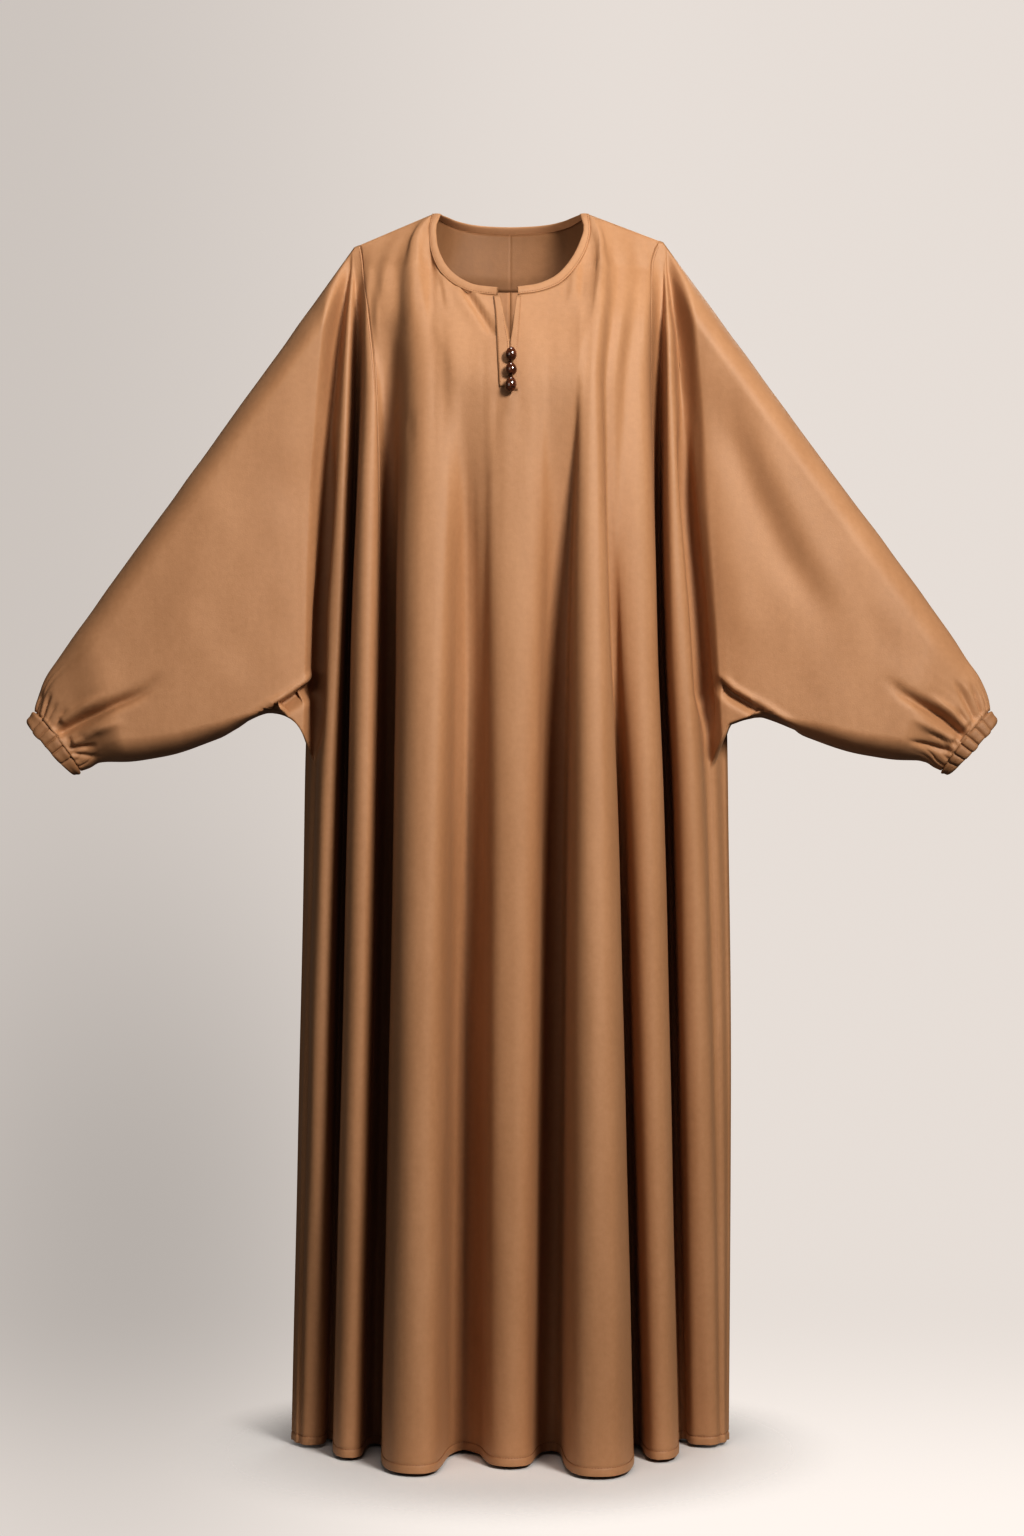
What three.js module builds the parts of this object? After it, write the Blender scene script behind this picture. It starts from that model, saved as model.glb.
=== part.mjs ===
// Abaya: a wide, floor-length gown of satin crepe, worn and standing in organ-pipe folds.
// Millimetres, +Z up, the front faces -Y, +X is the right-hand side seen from the front.
// The origin is midway between the two neck points of the shoulder seams, where the gown hangs from the shoulders.
//
// Every fold line is a row of a table. A row gives the line's place across the front elevation (drawing units,
// U mm each) and its depth (mm) at the heights in STATION. The elevation is drawn in perspective from EYE,
// so a line of the tables is seen at that place whatever its depth is.
import * as THREE from "three";

// ---------- driving sizes ----------
const U = 1.156; // mm per drawing unit in the plane y = 0
const SHEET = { midX: 512, midY: 768, top: 213 }; // drawing units: sight line's foot, and the origin's height
const EYE = { x: 2.3, y: -3600, z: -641.6 };
const HEM_Z = -1422; // the hem hangs level here
const CLOTH = 1.6; // wall of the panels
const TAPE = 2.6; // wall of the folded neck binding
const BAND = 3.0; // wall of the elastic cuffs
const STRIP = 1.0; // wall of the placket strips and of the facing
const SEAM = 0.25; // each piece ends this far short of the seam line
const CLEAR = 0.35; // between a panel and what lies on it
const BUTTON = { rx: 6.4, ry: 5.6 };

// ---------- fold tables ----------
const STATION = [270, 330, 400, 500, 650, 800, 1100, 1450]; // drawing heights
// name, x at each station, depth y at each station; leave and meet are how far the cloth runs level from this fold,
// and into the next one, as a share of the way between them: the larger they are, the rounder the fold and the steeper its side
const FRONT = [
  { name: "side L", x: [308, 308, 308, 308, 308, 305, 299.5, 291.5], y: [28, 28, 28, 28, 28, 26, 22, 20], leave: 0.5, meet: 0.5 },
  { name: "hollow by sleeve L", x: [349, 341, 334, 325, 318.5, 313, 304.5, 297], y: [-6, -10, -13, -15, -12, -2, 3, 2], leave: 0.4, meet: 0.9 },
  { name: "ridge A", x: [352, 348.5, 345.5, 342, 335.5, 328, 320, 312], y: [-12, -32, -44, -52, -54, -48, -32, -10], leave: 1.15, meet: 0.5 },
  { name: "gap AB", x: [356.5, 357.5, 356.5, 353.4, 348, 344.7, 337.5, 329], y: [-10, -18, -14, -7, 6, 16, 22, 24], leave: 0.5, meet: 1.15 },
  { name: "ridge B", x: [363, 367.5, 369, 366.5, 364.5, 362.5, 357, 349.5], y: [-22, -56, -74, -86, -92, -92, -86, -78], leave: 0.9, meet: 0.6 },
  { name: "gap BC", x: [379, 381, 386, 389, 389, 387, 381.5, 374.5], y: [-32, -62, -66, -52, -32, -20, -6, 0], leave: 0.5, meet: 1.25 },
  { name: "ridge C", x: [418, 425, 429, 431, 429, 426, 421.5, 417], y: [-52, -92, -115, -130, -141, -148, -155, -158], leave: 0.8, meet: 0.65 },
  { name: "hollow CD", x: [462, 465, 467, 469, 470, 469, 466, 464], y: [-70, -102, -119, -115, -98, -82, -60, -44], leave: 0.65, meet: 0.85 },
  { name: "ridge D", x: [509.7, 509.7, 510.4, 511.5, 512.5, 513, 512.5, 512], y: [-78, -106, -121, -126, -127, -127, -125, -122], leave: 0.85, meet: 0.65 },
  { name: "hollow DE", x: [566, 570, 572, 570, 565, 562, 557, 551.5], y: [-68, -102, -118, -106, -82, -64, -50, -40], leave: 0.5, meet: 1.15 },
  { name: "ridge E", x: [600, 594, 590, 590, 591, 592, 596, 600], y: [-54, -96, -120, -134, -147, -156, -165, -172], leave: 1.35, meet: 0.4 },
  { name: "hollow EF", x: [622, 615, 608, 608, 613, 620, 628, 636.5], y: [-38, -76, -93, -94, -78, -50, -20, -8], leave: 0.5, meet: 1.05 },
  { name: "ridge F", x: [650, 641, 636, 637.5, 641, 645, 652, 660.5], y: [-22, -58, -76, -88, -92, -93, -92, -88], leave: 1.2, meet: 0.5 },
  { name: "gap FG", x: [663, 662, 660, 659, 661.5, 668, 675, 682.5], y: [-10, -18, -12, -5, 6, 16, 22, 24], leave: 0.45, meet: 1.2 },
  { name: "ridge G", x: [666, 668, 669.5, 672, 680, 690, 698.5, 708], y: [-12, -32, -44, -52, -54, -48, -32, -10], leave: 0.9, meet: 0.5 },
  { name: "hollow by sleeve R", x: [669, 675.5, 682, 690, 702, 711, 719.5, 723.5], y: [-6, -10, -13, -15, -10, -1, 4, 3], leave: 0.5, meet: 0.5 },
  { name: "side R", x: [726, 726, 726, 726, 726, 728, 731, 728.5], y: [28, 28, 28, 28, 28, 26, 22, 20], leave: 0.5, meet: 0.5 },
];
const BACK = [
  FRONT[0],
  { name: "hollow by sleeve L", x: [349, 342, 336, 329, 323, 317, 309, 302], y: [10, 18, 24, 28, 34, 40, 40, 38], leave: 0.45, meet: 0.85 },
  { name: "ridge a", x: [352, 349, 346, 343, 339, 334, 327, 318], y: [14, 34, 50, 64, 72, 76, 74, 70], leave: 0.9, meet: 0.6 },
  { name: "gap ab", x: [356.5, 357.5, 357.5, 357, 354, 350.5, 346, 339], y: [12, 28, 36, 38, 38, 38, 38, 38], leave: 0.5, meet: 1.0 },
  { name: "ridge b", x: [366, 373, 378, 380, 380, 377, 371, 364], y: [24, 60, 86, 100, 108, 110, 108, 104], leave: 1.0, meet: 0.6 },
  { name: "gap bc", x: [384, 393, 400, 404, 405, 403, 399, 394], y: [32, 70, 88, 88, 78, 66, 52, 40], leave: 0.6, meet: 0.9 },
  { name: "ridge c", x: [422, 429, 433, 434, 435, 434, 432, 429], y: [50, 88, 112, 126, 135, 140, 144, 148], leave: 0.9, meet: 0.6 },
  { name: "hollow cd", x: [458, 464, 467, 469, 470, 471, 470, 468], y: [62, 93, 110, 115, 110, 102, 86, 72], leave: 0.6, meet: 0.75 },
  { name: "centre back", x: [510, 510, 510, 510, 510, 510, 510, 510], y: [66, 94, 112, 122, 127, 129, 128, 126], leave: 0.7, meet: 0.65 },
  { name: "hollow de", x: [556, 553, 552, 552, 551, 550, 552, 555], y: [60, 91, 108, 112, 105, 94, 78, 62], leave: 0.65, meet: 0.8 },
  { name: "ridge e", x: [600, 592, 588, 586, 586, 588, 592, 596], y: [48, 88, 113, 128, 138, 145, 150, 154], leave: 1.0, meet: 0.55 },
  { name: "gap ef", x: [632, 624, 618, 615, 615, 618, 624, 631], y: [34, 70, 86, 84, 72, 58, 42, 30], leave: 0.55, meet: 0.95 },
  { name: "ridge f", x: [648, 642, 639, 639, 642, 648, 655, 662], y: [22, 58, 84, 98, 105, 106, 102, 98], leave: 1.0, meet: 0.6 },
  { name: "gap fg", x: [663.5, 662, 660.5, 661, 664.5, 671, 678, 685], y: [12, 28, 36, 38, 38, 38, 37, 36], leave: 0.5, meet: 1.0 },
  { name: "ridge g", x: [666, 669, 672, 675.5, 683, 693, 701, 709.5], y: [14, 34, 50, 64, 73, 78, 74, 66], leave: 0.9, meet: 0.5 },
  { name: "hollow by sleeve R", x: [669, 676, 683, 691, 703, 712.5, 720.5, 723.5], y: [10, 18, 24, 28, 34, 40, 40, 38], leave: 0.5, meet: 0.5 },
  FRONT[16],
];
const LAST = FRONT.length - 1; // fold number of the right side
const ARM = 3; // fold number that runs up to the shoulder tip, counted in from either side
const PANEL = 4; // column on which the side panel, cut in one with its sleeve, is sewn to the middle panel
// fold number that this seam follows at shares r of the way down to the underarm line
const PANEL_SEAM = { r: [0, 0.07, 0.14, 0.24, 0.5, 1], left: [3.2, 3.55, 4, 4.25, 4.45, 4.5], right: [12.85, 12.35, 12.4, 12.54, 12.7, 12.7] };
const NECK = 6; // fold number that runs up to the neck point, counted in from either side
const MID = 8; // fold number of the centre

// height of the line where the sleeve ends and the skirt begins, at folds 0 to 16
const UNDERARM = [734, 764, 776, 790, 797, 800, 800, 800, 800, 800, 800, 800, 797, 790, 780, 769, 732];

// ---------- outlines (drawing units and depth) ----------
const SHOULDER = {
  L: { neck: { x: 432.5, v: 214.2, y: 2 }, tip: { x: 354.5, v: 247.5, y: 6 } },
  R: { neck: { x: 588.5, v: 214.2, y: 2 }, tip: { x: 663, v: 242.5, y: 6 } },
};
// seam between binding and front panel, and the free edge of the binding, from neck point to slit
const NECK_L = {
  seam: { x: [432.5, 429.2, 430.2, 438.8, 457.5, 475.2, 497.8], v: [214.2, 229, 246, 269.5, 286, 292.6, 295], y: [2, -9, -22, -44, -63, -71, -76] },
  edge: { x: [441, 436.2, 437.2, 445.5, 462, 477.3, 498.2], v: [214.4, 228, 243, 264, 279, 285, 287.2], y: [2, -8, -20, -40, -58, -66, -72] },
};
const NECK_R = {
  seam: { x: [588.5, 590.2, 586.9, 575.6, 558, 537, 518.2], v: [214.2, 229, 246, 267, 284, 291.5, 294], y: [2, -9, -22, -42, -61, -71, -76] },
  edge: { x: [580, 583.6, 579.4, 569.5, 554, 535.2, 517.6], v: [214.4, 228, 242.5, 261, 276.5, 284, 286.4], y: [2, -8, -20, -38, -56, -66, -72] },
};
// back neck from left to right: fraction of the way round, depth and height (mm)
const NECK_B = {
  seam: { y: [2, 25, 50, 64, 69.5, 71, 69.5, 64, 50, 25, 2], z: [-1.3, -4.5, -8.5, -11.5, -13.3, -14, -13.3, -11.5, -8.5, -4.5, -1.3] },
  edge: { y: [2, 19, 41, 55, 61, 62.5, 61, 55, 41, 19, 2], z: [-1.6, -1.8, -3, -4.5, -5.4, -5.8, -5.4, -4.5, -3, -1.8, -1.6] },
};
const SLIT = { v: [295, 312, 330, 345.4], left: [-11.9, -6.8, -3.4, 0], right: [8.5, 5.2, 2.5, 0], end: 345.4 };

// sleeve: upper and lower outline of each, shoulder to cuff; then how it is filled, along its length
const SLEEVE = {
  L: {
    top: { x: [350.6, 204.3, 58, 45, 36, 34.4], v: [253, 456.5, 660, 680, 704, 711.5] },
    low: { x: [308, 303, 297.5, 290, 281, 266, 235, 220, 160, 127, 110, 100, 90, 80.5], v: [734, 724, 715.5, 710.8, 709.6, 713, 729.5, 738, 757, 761.3, 761.8, 763, 768, 771] },
  },
  R: {
    top: { x: [666.6, 810, 954, 967, 980, 988.5, 990.4], v: [247.6, 444, 640, 660, 679, 700, 710.5] },
    low: { x: [726, 727.5, 733, 737.5, 745, 756, 767, 809, 865, 900, 916, 926, 934, 941.5], v: [732, 729.5, 719, 709.5, 711.2, 714.6, 718.6, 738, 755, 759.8, 760, 762, 767, 770.5] },
  },
};
const SLEEVE_AT = [0, 0.025, 0.05, 0.08, 0.15, 0.28, 0.44, 0.62, 0.78, 0.89, 0.955, 1];
const RISE = { front: 0.08, back: 0.2 }; // share of the sleeve's length over which its sheets rise out of the hollow beside the body
const FILL = {
  s: [0, 0.2, 0.5, 0.8, 0.93, 1],
  arm: [44, 46, 44, 38, 32, 27], // radius of the rounded upper part
  front: [30, 42, 46, 44, 36, 27], // depth of the front sheet at half height
  back: [34, 44, 48, 46, 37, 27], // depth of the back sheet at half height
  foot: [18, 20, 24, 28, 27, 26], // radius of the lower fold
};
const CUFF = {
  L: { inner: { x: [34.4, 80.5], v: [712.2, 771.5] }, outer: { x: [27.4, 72.2], v: [722.6, 774.2] } },
  R: { inner: { x: [990.4, 941.5], v: [711.2, 771] }, outer: { x: [996.6, 950.2], v: [721.4, 773] } },
  bulge: 4.5, // drawing units by which the front of the inner seam curves up the sleeve
  depth: 27, // half the width from front to back
  ribs: 13,
  ribHeight: 1.3,
};
const PLACKET = {
  L: { v: [296.5, 312, 330, 345.4, 366, 387], out: [493.6, 495.4, 496.6, 497.2, 498.3, 499.4], in: [499.6, 503.4, 506.6, 509.5, 509.7, 509.7] },
  R: { v: [296.5, 312, 330, 345.4, 366, 390], out: [521, 520, 518.6, 517.6, 517.6, 517.8], in: [516.8, 514.4, 512.2, 510.1, 510.3, 510.3] },
};
const BUTTONS = [
  { x: 511, v: 353.9, half: 8.1, lean: 4 },
  { x: 511.1, v: 368.7, half: 7.4, lean: -6 },
  { x: 510.7, v: 384.2, half: 8.7, lean: 7 },
];

// ---------- how finely the surfaces are divided ----------
const STEPS = [2, 3, 4, 3, 3, 4, 4, 4, 4, 4, 4, 4, 3, 4, 3, 2]; // columns between neighbouring folds, front
const STEPS_BACK = [2, 3, 4, 3, 3, 4, 3, 3, 3, 3, 4, 4, 3, 4, 3, 2];
const ROWS_UP = [0, 0.033, 0.0665, 0.0998, 0.17, 0.3, 0.5, 0.76, 1]; // share of the way from the top to the underarm line
const SLIT_ROW = 3; // the row at which the slit ends
const ROWS_LOW = [0, 0.16, 0.36, 0.6, 1]; // share of the way from the underarm line to the hem

// ---------- small tools ----------
const clamp = (v, a = 0, b = 1) => Math.min(b, Math.max(a, v));
const mix = (a, b, t) => a + (b - a) * t;
const smooth = (t) => { t = clamp(t); return t * t * (3 - 2 * t); };

// smooth line through the values ys at xs, without overshoot
function curve(xs, ys, x) {
  const n = xs.length;
  if (x <= xs[0]) return ys[0];
  if (x >= xs[n - 1]) return ys[n - 1];
  let i = 0;
  while (x > xs[i + 1]) i++;
  const slope = (k) => (ys[k + 1] - ys[k]) / (xs[k + 1] - xs[k]);
  const tangent = (k) => {
    if (k === 0) return slope(0);
    if (k === n - 1) return slope(n - 2);
    const a = slope(k - 1), b = slope(k);
    return a * b <= 0 ? 0 : (2 * a * b) / (a + b);
  };
  const h = xs[i + 1] - xs[i], t = (x - xs[i]) / h, t2 = t * t, t3 = t2 * t;
  return (2 * t3 - 3 * t2 + 1) * ys[i] + (t3 - 2 * t2 + t) * h * tangent(i)
    + (3 * t2 - 2 * t3) * ys[i + 1] + (t3 - t2) * h * tangent(i + 1);
}

// the point at depth y that is seen at (x, v) of the elevation
function seen(x, v, y) {
  const s = (y - EYE.y) / -EYE.y;
  return new THREE.Vector3(EYE.x + (x - SHEET.midX) * U * s, y, EYE.z - (v - SHEET.midY) * U * s);
}
const heightOf = (z) => SHEET.top - z / U; // drawing height of z in the plane y = 0
const zOf = (v) => (SHEET.top - v) * U;

// a point on a polyline of drawing points, by share of its length
function along(line, s) {
  const n = line.x.length, cum = [0];
  for (let i = 1; i < n; i++) cum.push(cum[i - 1] + Math.hypot(line.x[i] - line.x[i - 1], line.v[i] - line.v[i - 1]));
  const d = s * cum[n - 1];
  return { x: curve(cum, line.x, d), v: curve(cum, line.v, d) };
}

// ---------- the body's surface ----------
function foldPoint(fold, v) {
  const y = curve(STATION, fold.y, v), x = curve(STATION, fold.x, v);
  return { x: EYE.x + ((x - SHEET.midX) * U * (y - EYE.y)) / -EYE.y, y };
}
// the section at drawing height v, at fold number u: between two folds the cloth runs in an S whose ends are level
function section(table, u, v) {
  const i = Math.min(LAST - 1, Math.floor(u + 1e-9)), t = clamp(u - i);
  const a = foldPoint(table[i], v), b = foldPoint(table[i + 1], v);
  if (t < 1e-9) return a;
  if (t > 1 - 1e-9) return b;
  const full = smooth((v - 250) / 350), ha = mix(0.5, table[i].leave, full), hb = mix(0.5, table[i].meet, full);
  const dx = b.x - a.x, w = 1 - t;
  return {
    x: w * w * w * a.x + 3 * w * w * t * (a.x + ha * dx) + 3 * w * t * t * (b.x - hb * dx) + t * t * t * b.x,
    y: w * w * w * a.y + 3 * w * w * t * a.y + 3 * w * t * t * b.y + t * t * t * b.y,
  };
}
// share of the front neck line at fold k, counted from the side: fewer columns where the line runs straight down
// the column numbers follow the panel seams: column PANEL lies on the left one, column LAST - PANEL on the right one
function warp(u, r) {
  const left = u < MID, c = left ? PANEL : LAST - PANEL, at = curve(PANEL_SEAM.r, left ? PANEL_SEAM.left : PANEL_SEAM.right, r);
  if (Math.abs(u - c) >= 1) return u;
  return u <= c ? c - 1 + (u - c + 1) * (at - c + 1) : at + (u - c) * (c + 1 - at);
}
const neckShare = (k) => Math.pow(clamp((k - NECK) / (MID - NECK)), 0.53);
// upper edge of the body at fold number u, for the front or the back: shoulder seam and neck seam
function topEdge(isFront, u, slitSide) {
  const left = u < MID || (u === MID && slitSide < 0), S = left ? SHOULDER.L : SHOULDER.R;
  const k = left ? u : LAST - u; // counted from the side
  if (k <= ARM + 1e-9) { // beyond the shoulder tip the same line runs on down the sleeve
    const over = (ARM - k) / (ARM - 1), top = SLEEVE[left ? "L" : "R"].top;
    return seen(mix(S.tip.x, top.x[0], over), mix(S.tip.v, top.v[0], over), S.tip.y);
  }
  if (k <= NECK + 1e-9) {
    const t = (k - ARM) / (NECK - ARM);
    return seen(mix(S.tip.x, S.neck.x, t), mix(S.tip.v, S.neck.v, t), mix(S.tip.y, S.neck.y, t));
  }
  if (isFront) {
    const N = (left ? NECK_L : NECK_R).seam, t = neckShare(k) * (N.x.length - 1), at = N.x.map((_, i) => i);
    return seen(curve(at, N.x, t), curve(at, N.v, t), curve(at, N.y, t));
  }
  return backNeck(NECK_B.seam, (u - NECK) / (LAST - 2 * NECK), SHOULDER.L.neck, SHOULDER.R.neck);
}
// back neck line at share t of the way from left to right, between the two neck points
function backNeck(line, t, l, r) {
  const n = line.y.length - 1, at = line.y.map((_, i) => i), a = seen(l.x, l.v, l.y), b = seen(r.x, r.v, r.y);
  const c = (1 - Math.cos(Math.PI * t)) / 2; // denser near the ends, where the line runs backwards
  const x = mix(a.x, b.x, mix(t, c, 0.75));
  return new THREE.Vector3(x, curve(at, line.y, t * n), curve(at, line.z, t * n));
}
function slitShift(u, v, slitSide) {
  if (slitSide === 0 || v >= SLIT.end) return 0;
  const near = 1 - Math.abs(u - MID);
  return near <= 0 ? 0 : near * curve(SLIT.v, slitSide < 0 ? SLIT.left : SLIT.right, v) * U;
}
function underarm(isFront, u) {
  const v = curve(UNDERARM.map((_, i) => i), UNDERARM, u), p = section(isFront ? FRONT : BACK, u, v);
  return new THREE.Vector3(p.x, p.y, zOf(v));
}
// a point of the body above the underarm line: share r of the way down from the upper edge
function upper(isFront, u, r, slitSide = 0) {
  const table = isFront ? FRONT : BACK, top = topEdge(isFront, u, slitSide), foot = underarm(isFront, u);
  const z = mix(top.z, foot.z, r), v = heightOf(z), vTop = heightOf(top.z);
  const p = section(table, u, v), q = section(table, u, vTop);
  const side = isFront ? slitSide : 0;
  const atNeck = isFront ? smooth(1 - Math.abs(Math.min(u, LAST - u) - NECK) / 0.6) : 0;
  const fade = Math.pow(1 - clamp((v - vTop) / 105), 2), fadeX = mix(fade, Math.pow(1 - clamp((v - vTop) / 30), 2), atNeck), shift = slitShift(u, v, side), shiftTop = slitShift(u, vTop, side);
  return new THREE.Vector3(p.x + shift + (top.x - q.x - shiftTop) * fadeX, p.y + (top.y - q.y) * fade, z);
}
function lower(isFront, u, r) {
  const top = underarm(isFront, u);
  if (r === 0) return top;
  const z = mix(top.z, HEM_Z, r), v = heightOf(z), p = section(isFront ? FRONT : BACK, u, v);
  return new THREE.Vector3(p.x, p.y, z);
}

// ---------- the sleeve's surface ----------
// the closed line where the sleeve leaves the body: down the front hollow, round the underarm, up the back hollow
function sleeveRoot(side) {
  const u = (k) => (side === "L" ? k : LAST - k), n = 2;
  const down = (isFront) => {
    const pts = ROWS_UP.map((r) => upper(isFront, u(1), r));
    for (let i = 1; i <= n; i++) pts.push(underarm(isFront, u(1 - i / n)));
    return pts;
  };
  return { front: down(true), back: down(false) };
}
function shares(pts) {
  const cum = [0];
  for (let i = 1; i < pts.length; i++) cum.push(cum[i - 1] + pts[i].distanceTo(pts[i - 1]));
  return cum.map((c) => c / cum[cum.length - 1]);
}
// direction across the elevation from the cuff's inner edge to its outer one
function cuffOut(side) {
  const { inner: I, outer: O } = CUFF[side], x = (O.x[0] + O.x[1] - I.x[0] - I.x[1]) / 2, v = (O.v[0] + O.v[1] - I.v[0] - I.v[1]) / 2, l = Math.hypot(x, v);
  return { x: x / l, v: v / l };
}
function sleevePoint(side, isFront, root, w, s) {
  const T = along(SLEEVE[side].top, s), B = along(SLEEVE[side].low, s);
  const T0 = along(SLEEVE[side].top, 0), B0 = along(SLEEVE[side].low, 0);
  const arm = curve(FILL.s, FILL.arm, s), sheet = curve(FILL.s, isFront ? FILL.front : FILL.back, s), foot = curve(FILL.s, FILL.foot, s);
  const len = Math.hypot(T.x - B.x, T.v - B.v) * U, d = w * len, e = len - d;
  // depth: a rounded shoulder above, a flatter sheet, a rounded fold below
  const cap = d < arm ? Math.sqrt(1 - (1 - d / arm) ** 2) : 1, heel = e < foot ? Math.sqrt(1 - (1 - e / foot) ** 2) : 1;
  let depth = mix(arm, sheet, smooth((d - arm * 0.5) / (len * 0.45))) * cap * heel;
  const mid = mix(4, 2, s);
  let y = mid + (isFront ? -depth : depth);
  // at the cuff the section is an ellipse
  const cuffward = smooth((s - 0.8) / 0.2);
  if (cuffward > 0) {
    const a = Math.PI * w, wy = Math.sin(a) * CUFF.depth;
    y = mix(y, 2 + (isFront ? -wy : wy), cuffward);
    const we = (1 - Math.cos(a)) / 2;
    w = mix(w, we, cuffward);
  }
  // place across the elevation, leaning out of the root line
  const x0 = (root.x - EYE.x) / U / ((root.y - EYE.y) / -EYE.y) + SHEET.midX;
  const v0 = (EYE.z - root.z) / U / ((root.y - EYE.y) / -EYE.y) + SHEET.midY;
  const keep = Math.pow(1 - clamp(s / 0.55), 2);
  const wr = w;
  const x = mix(T.x, B.x, wr) + (x0 - mix(T0.x, B0.x, wr)) * keep;
  const v = mix(T.v, B.v, wr) + (v0 - mix(T0.v, B0.v, wr)) * keep;
  const yy = mix(root.y, y, smooth(s / (isFront ? RISE.front : RISE.back))), out = isFront ? CUFF.bulge * Math.sin(Math.PI * w) * cuffward : 0, c = cuffOut(side);
  const p = seen(x - out * c.x, v - out * c.v, mix(yy, mid, cuffward));
  p.y = yy;
  return p;
}

// ---------- sheets of cloth, then walls ----------
// a sheet is a list of quads; flip turns its outer side round
function grid(rows, flip) {
  const quads = [];
  for (let r = 0; r + 1 < rows.length; r++)
    for (let c = 0; c + 1 < rows[r].length; c++) {
      const q = [rows[r][c], rows[r][c + 1], rows[r + 1][c + 1], rows[r + 1][c]];
      quads.push(flip ? q.reverse() : q);
    }
  return quads;
}
const keyOf = (p) => [p.x, p.y, p.z].map((c) => Math.round(c * 200)).join(",");
const normals = new Map(); // outward direction at each point of the whole garment, shared by pieces that meet there
function addNormals(quads) {
  for (const q of quads)
    for (const [a, b, c] of [[0, 1, 2], [0, 2, 3]]) {
      const n = q[b].clone().sub(q[a]).cross(q[c].clone().sub(q[a]));
      if (n.lengthSq() < 1e-12) continue;
      n.normalize();
      for (const [o, l, r] of [[a, b, c], [b, c, a], [c, a, b]]) {
        const k = keyOf(q[o]), angle = q[l].clone().sub(q[o]).angleTo(q[r].clone().sub(q[o]));
        if (!normals.has(k)) normals.set(k, new THREE.Vector3());
        normals.get(k).addScaledVector(n, angle);
      }
    }
}
const normalAt = (p) => normals.get(keyOf(p)).clone().normalize();

// closed wall on a sheet: thickness mostly inwards, edges pulled back from the seam line, lifted off the sheet by lift
function wall(quads, thickness, { lift = 0, pull = SEAM } = {}) {
  const index = new Map(), points = [], faces = [];
  const id = (p) => {
    const k = keyOf(p);
    if (!index.has(k)) { index.set(k, points.length); points.push(p.clone()); }
    return index.get(k);
  };
  for (const q of quads) {
    const f = q.map(id);
    for (const t of [[f[0], f[1], f[2]], [f[0], f[2], f[3]]])
      if (t[0] !== t[1] && t[1] !== t[2] && t[2] !== t[0]) faces.push(t);
  }
  const edges = new Map();
  for (const f of faces)
    for (let i = 0; i < 3; i++) {
      const a = f[i], b = f[(i + 1) % 3];
      if (edges.has(b + "," + a)) edges.delete(b + "," + a);
      else edges.set(a + "," + b, [a, b]);
    }
  const n = points.map((p) => normalAt(p));
  const inward = new Map();
  for (const [a, b] of edges.values()) {
    const e = points[b].clone().sub(points[a]);
    for (const k of [a, b]) {
      const d = n[k].clone().cross(e).normalize();
      if (!inward.has(k)) inward.set(k, []);
      inward.get(k).push(d);
    }
  }
  for (const [k, ds] of inward) {
    const sum = ds.reduce((s, d) => s.add(d), new THREE.Vector3());
    if (sum.lengthSq() < 1e-6) continue;
    sum.normalize();
    const cos = Math.max(0.4, sum.dot(ds[0]));
    points[k].addScaledVector(sum, pull / cos);
  }
  const pos = [], tri = [], m = points.length;
  for (const s of [lift + thickness / 2, lift - thickness / 2])
    points.forEach((p, i) => { const q = p.clone().addScaledVector(n[i], s); pos.push(q.x, q.y, q.z); });
  for (const [a, b, c] of faces) tri.push(a, b, c, a + m, c + m, b + m);
  for (const [a, b] of edges.values()) tri.push(a, a + m, b + m, a, b + m, b);
  const g = new THREE.BufferGeometry();
  g.setAttribute("position", new THREE.Float32BufferAttribute(pos, 3));
  g.setIndex(tri);
  g.computeVertexNormals();
  return g;
}

// fold numbers of the columns between folds a and b, closer together on the ridges
function columns(a, b, steps) {
  const us = [a];
  for (let k = a; k < b; k++)
    for (let i = 1; i <= steps[k]; i++) {
      const f = i / steps[k], ridge = k % 2 === 0; // even folds are ridges
      us.push(k + (k === 0 || k === LAST - 1 ? f : ridge ? Math.pow(f, 1.35) : 1 - Math.pow(1 - f, 1.35)));
    }
  return us;
}
const up = (isFront, us, slitSide) => ROWS_UP.map((r, i) => us.map((u) => upper(isFront, warp(u, r), r, i < SLIT_ROW ? slitSide : 0)));
const low = (isFront, us) => ROWS_LOW.map((r) => us.map((u) => lower(isFront, warp(u, 1), r)));

// middle front panel: upper part left and right of the slit, and the skirt
const sheetFront = [
  ...grid(up(true, columns(PANEL, MID, STEPS), -1), true),
  ...grid(up(true, columns(MID, LAST - PANEL, STEPS), 1), true),
  ...grid(low(true, columns(PANEL, LAST - PANEL, STEPS)), true),
];
const backSheet = (us) => [...grid(up(false, us, 0), false), ...grid(low(false, us), false)];
const sheetBack = { L: backSheet(columns(PANEL, MID, STEPS_BACK)), R: backSheet(columns(MID, LAST - PANEL, STEPS_BACK)) };
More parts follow.
